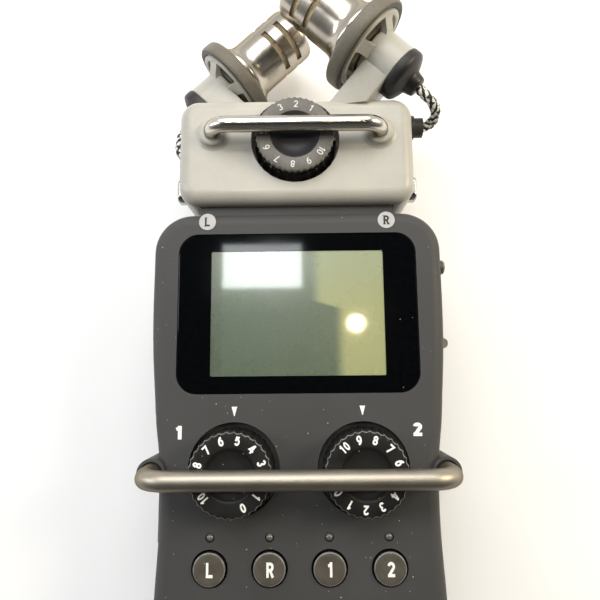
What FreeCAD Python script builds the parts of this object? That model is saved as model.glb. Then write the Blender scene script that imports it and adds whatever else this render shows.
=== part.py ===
import FreeCAD, Part
import math, os

# Portable field recorder, lying on its back.
# +X to the recorder's right, +Y towards the microphones, +Z out of the front
# panel.  Origin: centre of the tripod thread's mouth, in the back plane.
# All lengths in millimetres.

V = FreeCAD.Vector
os.makedirs("parts", exist_ok=True)
PARTS = {}

# ---------------------------------------------------------------- dimensions
WY = 36.0              # Y of the display window's upper edge
PANEL_Z = 31.0         # front panel
PARTING_Z = 13.0       # joint between the front and rear shells
WALL = 2.0             # shell wall
TOP_Y = 40.95          # microphone end of the main unit
BOT_Y = -96.95         # input end of the main unit
TOP_R, BOT_R = 8.5, 9.0
SIDE = [(31.65, 17.0), (31.3, 8.0), (30.7, 0.0), (30.3, -5.0), (29.6, -10.5),
        (29.16, -18.6), (29.16, -27.0), (29.6, -36.0), (30.1, -49.0),
        (30.5, -64.0)]
HALF_TOP, HALF_BOT = 31.65, 30.6
EDGE_R_FRONT, EDGE_R_BACK = 2.6, 5.0

WINDOW_HALF, WINDOW_LEN, WINDOW_R, WINDOW_T = 25.8, 34.4, 4.3, 1.2
LCD_HALF, LCD_Y0, LCD_Y1 = 18.7, 5.16, 32.16

KNOB_X, KNOB_Y, KNOB_RECESS_R, KNOB_R, KNOB_TOP = 13.4, -13.8, 9.55, 8.45, 37.8
KNOB_LOBES = 32
SHAFT_R = 1.5

BAR_X, BAR_Y, BAR_R, BAR_Z, BAR_BEND = 30.4, -14.4, 2.0, 40.1, 5.0
BOSS_R, BOSS_TOP = 3.0, 31.7

BTN_X = [-18.15, -6.05, 6.05, 18.15]
BTN_Y, BTN_HOLE_R, BTN_R, BTN_TOP, BTN_TRAVEL = -33.0, 3.7, 3.375, 31.7, 0.6
LED_Y, LED_HOLE_R, LED_R = -27.1, 0.95, 0.85
KEY_Y, KEY_HALF, KEY_LEN = -47.0, 4.7, 3.6
REC_Y, REC_R = -61.5, 5.2

CELL_R, CELL_LEN = 7.25, 50.5
BAY_HALF, BAY_Y0, BAY_Y1, BAY_TOP = 16.4, -66.4, -9.4, 18.0
THREAD_R, THREAD_LEN = 3.175, 6.0

JACK_X, JACK_Z, JACK_R, JACK_LEN = 13.0, 15.3, 11.9, 28.0
XLR_R_OUT, XLR_R_IN, XLR_DEPTH, TRS_R = 9.7, 7.9, 14.0, 3.2

BLK_Y0, BLK_Y1, BLK_HALF, BLK_Z0, BLK_PART = 43.3, 68.2, 26.7, 3.0, 16.0
DIAL_X, DIAL_Y, DIAL_RECESS_R, DIAL_R, DIAL_SKIRT_R, DIAL_TOP = -0.2, 57.9, 10.0, 8.8, 9.4, 34.2
UBAR_X, UBAR_Y, UBAR_R, UBAR_Z, UBAR_BEND = 18.84, 59.3, 1.75, 36.3, 3.8
PLUG_HALF, PLUG_Y0, PLUG_Z0, PLUG_Z1 = 12.0, 26.0, 7.0, 17.0

MIC_X, MIC_Y, MIC_Z = 16.1, 81.75, {"right": 30.0, "left": 12.4}
MIC_ANGLE = math.radians(43.0)         # microphone axis to the X axis
MIC_C, MIC_S = math.cos(MIC_ANGLE), math.sin(MIC_ANGLE)
TYRE_R, TYRE_RI, TYRE_W = 11.8, 10.0, 3.5
BARREL_R, BARREL_END = 7.1, 21.4
HUB_R, HUB_S0, HUB_S1 = 6.0, -2.5, -10.5
CAP_R, CAP_S1, BOOT_R, BOOT_S1 = 6.2, -14.2, 2.75, -16.6
LEAD_R = 1.25
GAP = 0.3              # clearance between pieces that move past each other


# ------------------------------------------------------------------- helpers
def box(x0, x1, y0, y1, z0, z1):
    return Part.makeBox(x1 - x0, y1 - y0, z1 - z0, V(x0, y0, z0))


def cyl(x, y, z0, z1, r):
    return Part.makeCylinder(r, z1 - z0, V(x, y, z0))


def cyl_y(x, z, y0, y1, r):
    return Part.makeCylinder(r, y1 - y0, V(x, y0, z), V(0, 1, 0))


def cyl_x(y, z, x0, x1, r):
    return Part.makeCylinder(r, x1 - x0, V(x0, y, z), V(1, 0, 0))


def fuse(items):
    out = items[0]
    for s in items[1:]:
        out = out.fuse(s)
    return out.removeSplitter()


def cut(a, *tools):
    for t in tools:
        a = a.cut(t)
    return a


def rbox(x0, x1, y0, y1, z0, z1, r):
    b = box(x0, x1, y0, y1, z0, z1)
    es = [e for e in b.Edges if abs(e.Vertexes[0].Z - e.Vertexes[1].Z) > 1e-6]
    return b.makeFillet(r, es)


def edges_at(shape, z, tol=1e-4):
    return [e for e in shape.Edges if all(abs(v.Z - z) < tol for v in e.Vertexes)
            and abs(e.BoundBox.ZMax - e.BoundBox.ZMin) < 1e-3]


def revolve(profile):
    """Solid of revolution about Z from (r, z) points."""
    pts = [V(r, 0, z) for r, z in profile]
    pts.append(pts[0])
    face = Part.Face(Part.makePolygon(pts))
    return face.revolve(V(0, 0, 0), V(0, 0, 1), 360)


def lobed(r, depth, n, z0, z1, phase=0.0):
    """Prism whose outline is n shallow concave scallops."""
    edges = []
    for i in range(n):
        a0 = 2 * math.pi * i / n + phase
        a1 = 2 * math.pi * (i + 1) / n + phase
        am = 0.5 * (a0 + a1)
        p0 = V(r * math.cos(a0), r * math.sin(a0), z0)
        p1 = V(r * math.cos(a1), r * math.sin(a1), z0)
        rm = r * math.cos(math.pi / n) - depth
        pm = V(rm * math.cos(am), rm * math.sin(am), z0)
        edges.append(Part.Arc(p0, pm, p1).toShape())
    return Part.Face(Part.Wire(edges)).extrude(V(0, 0, z1 - z0))


def tube_path(points, r, name):
    """Round tube along straight runs joined by tangent arcs."""
    P = [V(*p) for p in points]
    edges, radii, length = [], [], 0.0
    last = P[0]
    for i in range(1, len(P) - 1):
        a, b = P[i - 1] - P[i], P[i + 1] - P[i]
        la, lb = a.Length, b.Length
        a.normalize()
        b.normalize()
        turn = math.pi - math.acos(max(-1.0, min(1.0, a.dot(b))))
        t = 0.45 * min(la, lb)
        rad = t / math.tan(turn / 2)
        radii.append(rad)
        s, e = P[i] + a * t, P[i] + b * t
        mid = (a + b)
        mid.normalize()
        m = P[i] + mid * (rad / math.cos(turn / 2) - rad)
        edges.append(Part.LineSegment(last, s).toShape())
        edges.append(Part.Arc(s, m, e).toShape())
        length += (s - last).Length + rad * turn
        last = e
    edges.append(Part.LineSegment(last, P[-1]).toShape())
    length += (P[-1] - last).Length
    wire = Part.Wire(edges)
    d = P[1] - P[0]
    d.normalize()
    prof = Part.Wire([Part.Circle(P[0], d, r).toShape()])
    s = wire.makePipeShell([prof], True, True)
    if not s.isValid() or s.Volume < 0:
        s.reverse()
    s = Part.Solid(s.Shells[0]) if s.ShapeType != "Solid" else s
    if s.Volume < 0:
        s.reverse()
    print("%s length %.2f radii %s volume/section*length %.4f" % (
        name, length, ["%.1f" % q for q in radii], s.Volume / (math.pi * r * r * length)))
    return s


def bar(x, y, z_foot, z_top, r, bend, name):
    """Guard bar: two legs joined by a straight run, bent at both ends."""
    k = bend * (1 - math.sqrt(0.5))
    e = [Part.LineSegment(V(-x, y, z_foot), V(-x, y, z_top - bend)).toShape(),
         Part.Arc(V(-x, y, z_top - bend), V(-x + k, y, z_top - k), V(-x + bend, y, z_top)).toShape(),
         Part.LineSegment(V(-x + bend, y, z_top), V(x - bend, y, z_top)).toShape(),
         Part.Arc(V(x - bend, y, z_top), V(x - k, y, z_top - k), V(x, y, z_top - bend)).toShape(),
         Part.LineSegment(V(x, y, z_top - bend), V(x, y, z_foot)).toShape()]
    prof = Part.Wire([Part.Circle(V(-x, y, z_foot), V(0, 0, 1), r).toShape()])
    s = Part.Wire(e).makePipeShell([prof], True, True)
    if s.ShapeType != "Solid":
        s = Part.Solid(s.Shells[0])
    if s.Volume < 0:
        s.reverse()
    return s


def add(name, shape):
    PARTS[name] = shape


# ------------------------------------------------------------- body outline
def outline(d, z):
    """Closed outline of the main unit, drawn in by d, at height z."""
    def side(sx):
        pts = [V(sx * (HALF_TOP - d), TOP_Y - TOP_R, z)]
        pts += [V(sx * (x - d), y, z) for x, y in SIDE]
        pts += [V(sx * (HALF_BOT - d), BOT_Y + BOT_R, z)]
        c = Part.BSplineCurve()
        c.interpolate(Points=pts, InitialTangent=V(0, -1, 0), FinalTangent=V(0, -1, 0))
        return c.toShape()
    q = math.sqrt(0.5)
    xt, xb = HALF_TOP - TOP_R, HALF_BOT - BOT_R
    rt, rb = TOP_R - d, BOT_R - d
    yt, yb = TOP_Y - TOP_R, BOT_Y + BOT_R
    e = [Part.LineSegment(V(-xt, TOP_Y - d, z), V(xt, TOP_Y - d, z)).toShape(),
         Part.Arc(V(xt, TOP_Y - d, z), V(xt + rt * q, yt + rt * q, z), V(xt + rt, yt, z)).toShape(),
         side(1),
         Part.Arc(V(xb + rb, yb, z), V(xb + rb * q, yb - rb * q, z), V(xb, BOT_Y + d, z)).toShape(),
         Part.LineSegment(V(xb, BOT_Y + d, z), V(-xb, BOT_Y + d, z)).toShape(),
         Part.Arc(V(-xb, BOT_Y + d, z), V(-xb - rb * q, yb - rb * q, z), V(-xb - rb, yb, z)).toShape(),
         side(-1),
         Part.Arc(V(-xt - rt, yt, z), V(-xt - rt * q, yt + rt * q, z), V(-xt, TOP_Y - d, z)).toShape()]
    return Part.Face(Part.Wire(Part.__sortEdges__(e)))


def body_block(d, z0, z1):
    return outline(d, z0).extrude(V(0, 0, z1 - z0))


front_outer = body_block(0, PARTING_Z, PANEL_Z)
front_outer = front_outer.makeFillet(EDGE_R_FRONT, edges_at(front_outer, PANEL_Z))
rear_outer = body_block(0, 0, PARTING_Z)
rear_outer = rear_outer.makeFillet(EDGE_R_BACK, edges_at(rear_outer, 0.0))

# ------------------------------------------------------------- front shell
fs = cut(front_outer, body_block(WALL, PARTING_Z - 1, PANEL_Z - WALL))
adds, cuts = [], []
# guard bar bosses on the two sides
for sx in (-1, 1):
    adds.append(cyl(sx * BAR_X, BAR_Y, 20.0, BOSS_TOP, BOSS_R))
    adds.append(Part.makeSphere(BOSS_R, V(sx * BAR_X, BAR_Y, 20.0)))
    cuts.append(cyl(sx * BAR_X, BAR_Y, 22.0, 40, BAR_R))
    cuts.append(cyl(sx * BAR_X, BAR_Y, BOSS_TOP - 0.9, 40, 2.4))
# cups under the two gain knobs
for sx in (-1, 1):
    adds.append(cyl(sx * KNOB_X, KNOB_Y, 27.2, PANEL_Z - WALL + 0.01, KNOB_RECESS_R + 0.9))
    cuts.append(cyl(sx * KNOB_X, KNOB_Y, 28.2, 40, KNOB_RECESS_R))
    cuts.append(cyl(sx * KNOB_X, KNOB_Y, 20.0, 40, 2.4))
# screw posts that meet the rear shell's posts
POSTS = [(-24.5, 31.0), (24.5, 31.0), (-24.3, -61.0), (24.3, -61.0)]
for x, y in POSTS:
    adds.append(cyl(x, y, PARTING_Z, PANEL_Z - WALL + 0.01, 2.6))
    cuts.append(cyl(x, y, PARTING_Z - 1, 24.0, 0.95))
# window seat and display opening
cuts.append(rbox(-WINDOW_HALF - 0.12, WINDOW_HALF + 0.12, WY - WINDOW_LEN - 0.12, WY + 0.12,
                 PANEL_Z - WINDOW_T, PANEL_Z + 1, WINDOW_R + 0.12))
cuts.append(box(-LCD_HALF - 1.6, LCD_HALF + 1.6, LCD_Y0 - 1.6, LCD_Y1 + 1.6, 28.0, 31.0))
# button, key and lamp holes
for x in BTN_X:
    cuts.append(cyl(x, BTN_Y, 27.0, 32.0, BTN_HOLE_R))
    cuts.append(cyl(x, LED_Y, 27.0, 32.0, LED_HOLE_R))
    cuts.append(rbox(x - KEY_HALF - GAP, x + KEY_HALF + GAP, KEY_Y - KEY_LEN - GAP, KEY_Y + KEY_LEN + GAP,
                     27.0, 32.0, 1.5))
cuts.append(cyl(0, REC_Y, 27.0, 32.0, REC_R + GAP))
# input jack openings at the lower end
for sx in (-1, 1):
    cuts.append(cyl_y(sx * JACK_X, JACK_Z, BOT_Y - 1, BOT_Y + WALL + 1, JACK_R))
# neck opening for the capsule plug
cuts.append(box(-PLUG_HALF - GAP, PLUG_HALF + GAP, TOP_Y - WALL - 1, TOP_Y + 1, PLUG_Z0 - GAP, PLUG_Z1 + GAP))
# side openings: menu button, jog lever, usb port (right)
MENU_Y, MENU_Z, JOG_Y, JOG_Z = 29.7, 22.4, 12.05, 23.6
mb = rbox(-2.4, 2.4, -2.1, 2.1, 0, 8, 1.9)
mb.Placement = FreeCAD.Placement(V(26, MENU_Y, MENU_Z), FreeCAD.Rotation(V(0, 1, 0), 90))
cuts.append(mb)
jb = rbox(-2.6, 2.6, -3.1, 3.1, 0, 8, 1.2)
jb.Placement = FreeCAD.Placement(V(26, JOG_Y, JOG_Z), FreeCAD.Rotation(V(0, 1, 0), 90))
cuts.append(jb)
USB_Y, USB_Z = -42.0, 18.4
cuts.append(box(25, 34, USB_Y - 4.0, USB_Y + 4.0, USB_Z - 2.0, USB_Z + 2.0))
# side openings: power switch, headphone and line jacks, volume rocker (left)
PWR_Y, PWR_Z, VOL_Y, VOL_Z, HP_Y, LO_Y, MINI_Z = 26.0, 19.0, -24.0, 23.6, 11.0, 1.0, 16.6
cuts.append(box(-34, -26, PWR_Y - 5.2, PWR_Y + 5.2, PWR_Z - 1.6, PWR_Z + 1.6))
cuts.append(box(-34, -25, VOL_Y - 6.2, VOL_Y + 6.2, VOL_Z - 2.0, VOL_Z + 2.0))
cuts.append(cyl_x(HP_Y, MINI_Z, -34, -26, 3.0))
cuts.append(cyl_x(LO_Y, MINI_Z, -34, -26, 3.0))
# card slot and its door recess (left)
DOOR_Y0, DOOR_Y1, DOOR_Z0, DOOR_Z1 = -58.5, -31.5, 21.2, 27.2
cuts.append(box(-34, -25, DOOR_Y0 - 0.25, DOOR_Y1 + 0.25, DOOR_Z0 - 0.5, DOOR_Z1 + 0.25))
fs = fuse([fs] + adds)
fs = cut(fs, *cuts)
add("front_shell", fs)

# -------------------------------------------------------------- rear shell
rs = cut(rear_outer, body_block(WALL, WALL, PARTING_Z + 1))
adds = [cyl(x, y, WALL - 0.01, PARTING_Z, 2.6) for x, y in POSTS]
adds.append(cyl(0, 0, WALL - 0.01, 7.6, 5.6))
cuts = [cyl(0, 0, -1, 8.6, 4.6)]
for x, y in POSTS:
    cuts.append(cyl(x, y, -1, 14, 1.25))
    cuts.append(cyl(x, y, -1, 7.6, 2.1))
for sx in (-1, 1):
    cuts.append(cyl_y(sx * JACK_X, JACK_Z, BOT_Y - 1, BOT_Y + WALL + 1, JACK_R))
cuts.append(box(-PLUG_HALF - GAP, PLUG_HALF + GAP, TOP_Y - WALL - 1, TOP_Y + 1, PLUG_Z0 - GAP, PLUG_Z1 + GAP))
cuts.append(box(-BAY_HALF - 1.25, BAY_HALF + 1.25, BAY_Y0 - 1.25, BAY_Y1 + 1.25, -1, WALL + 0.5))
SPK_X, SPK_Y, SPK_R = 15.5, 16.0, 7.0
for i in range(-2, 3):
    for j in range(-2, 3):
        if i * i + j * j <= 5:
            cuts.append(cyl(SPK_X + 2.3 * i, SPK_Y + 2.3 * j, -1, WALL + 1, 0.6))
rs = fuse([rs] + adds)
rs = cut(rs, *cuts)
add("rear_shell", rs)

scr = []
for x, y in POSTS:
    scr.append(fuse([cut(cyl(x, y, 5.6, 7.6, 1.9), box(x - 1.2, x + 1.2, y - 0.25, y + 0.25, 5, 6.4),
                         box(x - 0.25, x + 0.25, y - 1.2, y + 1.2, 5, 6.4)),
                     cyl(x, y, 7.6, 20.0, 0.95)]))
add("shell_screws", Part.makeCompound(scr))

# tripod insert: knurled brass bush with a blind quarter-inch thread
ins = lobed(4.6, 0.12, 24, 0.0, 7.4)
ins = cut(ins, cyl(0, 0, -1, THREAD_LEN, THREAD_R))
add("tripod_insert", ins)

# speaker behind its grille
add("speaker", fuse([cyl(SPK_X, SPK_Y, WALL, 3.2, SPK_R), cyl(SPK_X, SPK_Y, 3.2, 5.4, 4.0)]))

# ------------------------------------------------------------ battery bay
tray = box(-BAY_HALF - 1.0, BAY_HALF + 1.0, BAY_Y0 - 1.0, BAY_Y1 + 1.0, 2.6, BAY_TOP + 1.0)
tray = cut(tray, box(-BAY_HALF, BAY_HALF, BAY_Y0, BAY_Y1, 0, BAY_TOP))
tray = fuse([tray, box(-0.35, 0.35, BAY_Y0, BAY_Y1, 12.5, BAY_TOP + 0.5)])
add("battery_tray", tray)
cy0 = 0.5 * (BAY_Y0 + BAY_Y1) - CELL_LEN / 2
cells, contacts = [], []
for sx in (-1, 1):
    x = sx * 7.85
    c = cyl_y(x, 10.0, cy0, cy0 + CELL_LEN - 1.0, CELL_R)
    c = c.makeFillet(0.5, [e for e in c.Edges if e.Curve.TypeId == "Part::GeomCircle"])
    nub = cyl_y(x, 10.0, cy0 + CELL_LEN - 1.01, cy0 + CELL_LEN, 2.7)
    c = fuse([c, nub])
    if sx < 0:
        c.rotate(V(x, 0.5 * (BAY_Y0 + BAY_Y1), 10.0), V(0, 0, 1), 180)
    cells.append(c)
    contacts.append(box(x - 4.5, x + 4.5, (BAY_Y1 - 2.6) if sx > 0 else BAY_Y0, BAY_Y1 if sx > 0 else (BAY_Y0 + 2.6), 5.5, 14.5))
    contacts.append(cyl_y(x, 10.0, BAY_Y0 if sx > 0 else (BAY_Y1 - 2.6), (BAY_Y0 + 2.6) if sx > 0 else BAY_Y1, 3.4))
add("battery_cells", Part.makeCompound(cells))
add("battery_contacts", Part.makeCompound(contacts))

bd = box(-BAY_HALF - 1.0, BAY_HALF + 1.0, BAY_Y0 - 1.0, BAY_Y1 + 1.0, 0, 1.8)
bd = bd.makeFillet(1.2, [e for e in bd.Edges if abs(e.Vertexes[0].Z - e.Vertexes[1].Z) > 1])
grip = [box(-6, 6, BAY_Y1 - 3.0 - 1.6 * i - 0.35, BAY_Y1 - 3.0 - 1.6 * i + 0.35, -1, 0.5) for i in range(4)]
add("battery_door", cut(bd, *grip))

# ------------------------------------------------------------ electronics
pcb = box(-26.5, 26.5, -67.0, 38.0, 20.0, 21.4)
pcb = cut(pcb, *[cyl(x, y, 19, 23, 3.0) for x, y in POSTS])
pcb = cut(pcb, *[cyl(s * BAR_X, BAR_Y, 16, 24, BOSS_R + 0.4) for s in (-1, 1)])
add("main_circuit_board", pcb)

kb = box(-23.8, 23.8, -67.5, -25.0, 25.7, 26.6)
kb = cut(kb, *[cyl(x, y, 25, 28, 3.0) for x, y in POSTS])
domes = [kb]
for x in BTN_X:
    domes.append(cyl(x, BTN_Y, 26.6, 26.95, 2.0))
    domes.append(cyl(x, KEY_Y, 26.6, 26.95, 2.0))
domes.append(cyl(0, REC_Y, 26.6, 26.95, 2.0))
add("key_circuit_board", fuse(domes))

leds = []
for x in BTN_X:
    d = cyl(x, LED_Y, 26.6, 30.4, LED_R)
    d = fuse([d, Part.makeSphere(LED_R, V(x, LED_Y, 30.4))])
    leds.append(d)
add("track_lamps", Part.makeCompound(leds))

# display: painted window, liquid-crystal panel, backlight
win = rbox(-WINDOW_HALF, WINDOW_HALF, WY - WINDOW_LEN, WY, PANEL_Z - WINDOW_T, PANEL_Z - 0.02, WINDOW_R)
win = win.makeFillet(0.18, edges_at(win, PANEL_Z - 0.02))
add("display_window", win)
add("display_panel", box(-LCD_HALF - 1.3, LCD_HALF + 1.3, LCD_Y0 - 1.3, LCD_Y1 + 1.3, 27.4, PANEL_Z - WINDOW_T))
add("display_backlight", box(-LCD_HALF - 1.3, LCD_HALF + 1.3, LCD_Y0 - 1.3, LCD_Y1 + 1.3, 24.4, 27.4))

# potentiometers under the two gain knobs
pots = []
for sx in (-1, 1):
    x = sx * KNOB_X
    p = fuse([box(x - 5.5, x + 5.5, KNOB_Y - 6.0, KNOB_Y + 6.0, 21.4, 25.4), cyl(x, KNOB_Y, 25.4, 28.0, 2.3)])
    pots.append(cut(p, cyl(x, KNOB_Y, 22.6, 29, SHAFT_R + 0.06)))
add("gain_potentiometers", Part.makeCompound(pots))


def dial(r, z0, z_top, n, dish_r, shaft_z0, skirt_r=None, skirt_z=None):
    """Scalloped control knob with a dished top and a round shaft."""
    k = lobed(r, 0.16, n, z0, z_top)
    cap = revolve([(0, z0 - 1), (r + 1, z0 - 1), (r + 1, z_top - 1.7), (r - 0.55, z_top - 0.25),
                   (r - 1.0, z_top), (dish_r + 0.35, z_top), (dish_r, z_top - 0.35), (0, z_top - 0.45)])
    k = k.common(cap)
    items = [k, cyl(0, 0, shaft_z0, z0 + 0.5, SHAFT_R)]
    if skirt_r:
        items.append(lobed(skirt_r, 0.45, 20, z0, skirt_z))
    return fuse(items)


for name, sx in (("gain_knob_left", -1), ("gain_knob_right", 1)):
    k = dial(KNOB_R, 28.6, KNOB_TOP, KNOB_LOBES, 5.0, 23.0)
    k.translate(V(sx * KNOB_X, KNOB_Y, 0))
    add(name, k)

# --------------------------------------------------------- buttons and keys
for name, x in (("track_button_left", BTN_X[0]), ("track_button_right", BTN_X[1]),
                ("track_button_one", BTN_X[2]), ("track_button_two", BTN_X[3])):
    c = cyl(x, BTN_Y, 28.6, BTN_TOP, BTN_R)
    c = c.makeFillet(0.45, edges_at(c, BTN_TOP))
    add(name, fuse([c, cyl(x, BTN_Y, 27.75, 28.62, BTN_R + 0.8)]))
for name, x in (("rewind_key", BTN_X[0]), ("stop_key", BTN_X[1]), ("play_key", BTN_X[2]), ("forward_key", BTN_X[3])):
    c = rbox(x - KEY_HALF, x + KEY_HALF, KEY_Y - KEY_LEN, KEY_Y + KEY_LEN, 28.6, 32.0, 1.3)
    c = c.makeFillet(0.5, edges_at(c, 32.0))
    add(name, fuse([c, box(x - KEY_HALF - 0.9, x + KEY_HALF + 0.9, KEY_Y - KEY_LEN - 0.9, KEY_Y + KEY_LEN + 0.9, 27.75, 28.62)]))
c = cyl(0, REC_Y, 28.6, 32.2, REC_R)
c = c.makeFillet(0.6, edges_at(c, 32.2))
add("record_key", fuse([c, cyl(0, REC_Y, 27.75, 28.62, REC_R + 0.9)]))

# menu button on the right side
c = rbox(-1.95, 1.95, -1.7, 1.7, 0, 4.9, 1.5)
c = c.makeFillet(0.4, edges_at(c, 4.9))
c.Placement = FreeCAD.Placement(V(28.0, MENU_Y, MENU_Z), FreeCAD.Rotation(V(0, 1, 0), 90))
add("menu_button", fuse([c, box(28.0, 28.8, MENU_Y - 3.0, MENU_Y + 3.0, MENU_Z - 2.9, MENU_Z + 2.9)]))
# jog lever that rocks about Z, with a ribbed tip
jl = fuse([cyl(27.6, JOG_Y, JOG_Z - 1.9, JOG_Z + 1.9, 1.6),
           box(27.6, 32.4, JOG_Y - 0.9, JOG_Y + 0.9, JOG_Z - 1.7, JOG_Z + 1.7),
           cyl(32.2, JOG_Y, JOG_Z - 1.7, JOG_Z + 1.7, 1.15)])
add("jog_lever", cut(jl, cyl(27.6, JOG_Y, 10, 30, 0.75)))
sw = fuse([box(23.8, 25.6, JOG_Y - 3.2, JOG_Y + 3.2, 21.4, 26.6),
           box(25.6, 28.4, JOG_Y - 1.2, JOG_Y + 1.2, JOG_Z + 2.2, JOG_Z + 3.0),
           cyl(27.6, JOG_Y, JOG_Z - 1.9, JOG_Z + 2.4, 0.7),
           cyl(27.6, JOG_Y, JOG_Z + 2.2, JOG_Z + 3.0, 1.2)])

# power switch slider on the left side
c = box(-32.6, -28.2, PWR_Y - 2.2, PWR_Y + 2.2, PWR_Z - 1.3, PWR_Z + 1.3)
c = c.makeFillet(0.5, [e for e in c.Edges if all(v.X < -32.5 for v in e.Vertexes)])
c = cut(c, *[box(-33, -32.25, PWR_Y - 1.4 + 1.1 * i, PWR_Y - 0.9 + 1.1 * i, PWR_Z - 2, PWR_Z + 2) for i in range(3)])
add("power_switch", fuse([c, box(-29.3, -28.1, PWR_Y - 3.0, PWR_Y + 3.0, PWR_Z - 2.2, PWR_Z + 2.2)]))

# volume rocker on the left side, rocking about Z on its own pin
VX = -26.2
vr = box(-30.3, -27.6, VOL_Y - 5.8, VOL_Y + 5.8, VOL_Z - 1.7, VOL_Z + 1.7)
vr = vr.makeFillet(0.5, [e for e in vr.Edges if all(v.X < -30.2 for v in e.Vertexes)])
vr = fuse([vr, cyl(VX, VOL_Y, VOL_Z - 1.7, VOL_Z + 1.7, 1.35), box(-28.4, VX, VOL_Y - 1.2, VOL_Y + 1.2, VOL_Z - 1.7, VOL_Z + 1.7)])
add("volume_rocker", cut(vr, cyl(VX, VOL_Y, 10, 30, 0.75)))
vp = fuse([box(-24.5, -23.9, VOL_Y - 4.0, VOL_Y + 4.0, 21.4, 26.8), box(-26.9, -24.4, VOL_Y - 0.9, VOL_Y + 0.9, VOL_Z + 2.0, VOL_Z + 2.8),
           cyl(VX, VOL_Y, VOL_Z - 1.7, VOL_Z + 2.8, 0.7)])
add("side_switches", Part.makeCompound([sw, vp]))

# miniature jacks, usb port, card socket and card
minis = []
for y in (HP_Y, LO_Y):
    j = fuse([cyl_x(y, MINI_Z, -30.7, -27.5, 2.9), box(-27.6, -16.5, y - 3.4, y + 3.4, MINI_Z - 3.2, 20.0)])
    minis.append(cut(j, cyl_x(y, MINI_Z, -34, -17.2, 1.78)))
add("mini_jacks", Part.makeCompound(minis))
usb = box(22.4, 30.1, USB_Y - 3.8, USB_Y + 3.8, USB_Z - 1.9, USB_Z + 1.6)
usb = cut(usb, box(23.4, 32, USB_Y - 3.4, USB_Y + 3.4, USB_Z - 1.5, USB_Z + 1.2))
add("usb_port", usb)
add("card_socket", cut(box(-26.0, 3.4, DOOR_Y0 + 0.4, DOOR_Y1 - 0.4, 21.4, 25.6),
                       box(-30, 2.6, DOOR_Y0 + 1.4, DOOR_Y1 - 1.4, 22.4, 24.8)))
add("memory_card", box(-27.6, 2.4, DOOR_Y0 + 1.6, DOOR_Y1 - 1.6, 22.5, 24.6))
cd = cut(front_outer, body_block(1.5, 0, 40)).common(box(-34, -20, DOOR_Y0, DOOR_Y1, DOOR_Z0, DOOR_Z1))
add("card_door", cd)

# --------------------------------------------------------------- input jacks
inputs = []
for sx in (-1, 1):
    x = sx * JACK_X
    y0 = BOT_Y - 0.3
    j = cyl_y(x, JACK_Z, y0, y0 + JACK_LEN, JACK_R - 0.05)
    j = cut(j, cyl_y(x, JACK_Z, y0 - 1, y0 + XLR_DEPTH, XLR_R_OUT))
    core = cyl_y(x, JACK_Z, y0 + 0.6, y0 + XLR_DEPTH + 1, XLR_R_IN)
    j = fuse([j, core])
    j = cut(j, cyl_y(x, JACK_Z, y0 - 1, y0 + 26.0, TRS_R))
    for a in (90, 210, 330):
        px = x + 5.5 * math.cos(math.radians(a))
        pz = JACK_Z + 5.5 * math.sin(math.radians(a))
        j = cut(j, cyl_y(px, pz, y0 - 1, y0 + XLR_DEPTH, 1.3))
    inputs.append(j)
add("input_jacks", Part.makeCompound(inputs))

# ---------------------------------------------------------- lower guard bar
add("lower_guard_bar", bar(BAR_X, BAR_Y, 22.0, BAR_Z, BAR_R, BAR_BEND, "lower_guard_bar"))

# small light discs beside the microphone end
disc = []
for sx in (-1, 1):
    disc.append(cyl(sx * 19.7, WY + 2.9, PANEL_Z, PANEL_Z + 0.12, 1.875))
add("channel_discs", Part.makeCompound(disc))

# ------------------------------------------------------------ capsule socket
so = box(-PLUG_HALF - 2.0, PLUG_HALF + 2.0, PLUG_Y0 - 2.2, TOP_Y - WALL, PLUG_Z0 - 2.0, PLUG_Z1 + 2.0)
so = cut(so, box(-PLUG_HALF - GAP, PLUG_HALF + GAP, PLUG_Y0 - 0.4, TOP_Y, PLUG_Z0 - GAP, PLUG_Z1 + GAP))
add("capsule_socket", so)

# ============================================================ capsule module
blk = box(-BLK_HALF, BLK_HALF, BLK_Y0, BLK_Y1, BLK_Z0, PANEL_Z)
blk = blk.makeFillet(4.3, [e for e in blk.Edges if abs(e.Vertexes[0].Z - e.Vertexes[1].Z) > 5])
blk = blk.makeFillet(3.0, edges_at(blk, PANEL_Z) + edges_at(blk, BLK_Z0))
inner = rbox(-BLK_HALF + 1.8, BLK_HALF - 1.8, BLK_Y0 + 1.8, BLK_Y1 - 1.8, BLK_Z0 + 1.8, PANEL_Z - 1.8, 2.5)
neck = rbox(-22.0, 22.0, TOP_Y + 0.05, BLK_Y0 + 3.0, 5.0, 27.5, 1.0)

RB_Y, RB_Z = 49.0, 21.0
GLAND = {"right": (64.3, 22.0), "left": (60.9, 13.0)}
cf = blk.common(box(-40, 40, 40, 80, BLK_PART, 40))
cf = cut(cf, inner.common(box(-40, 40, 40, 80, BLK_PART - 1, 40)))
collars = []
for sx in (-1, 1):
    col = revolve([(0, 0), (4.0, 0), (3.4, 0.25), (2.95, 0.7), (2.95, 1.25), (2.6, 1.5), (0, 1.5)])
    col.translate(V(sx * UBAR_X, UBAR_Y, PANEL_Z - 0.02))
    collars.append(col)
    collars.append(cyl(sx * UBAR_X, UBAR_Y, 23.0, PANEL_Z - 1.7, 3.2))
collars.append(cyl(DIAL_X, DIAL_Y, 22.6, PANEL_Z - 1.7, DIAL_RECESS_R + 0.9).common(blk))
cf = fuse([cf] + collars)
cf = cut(cf, cyl(DIAL_X, DIAL_Y, 23.6, 40, DIAL_RECESS_R), cyl(DIAL_X, DIAL_Y, 20, 40, 2.5))
for sx in (-1, 1):
    cf = cut(cf, cyl(sx * UBAR_X, UBAR_Y, 24.0, 40, UBAR_R))
rbh = rbox(-2.6, 2.6, -3.2, 3.2, 0, 70, 1.6)
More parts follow.
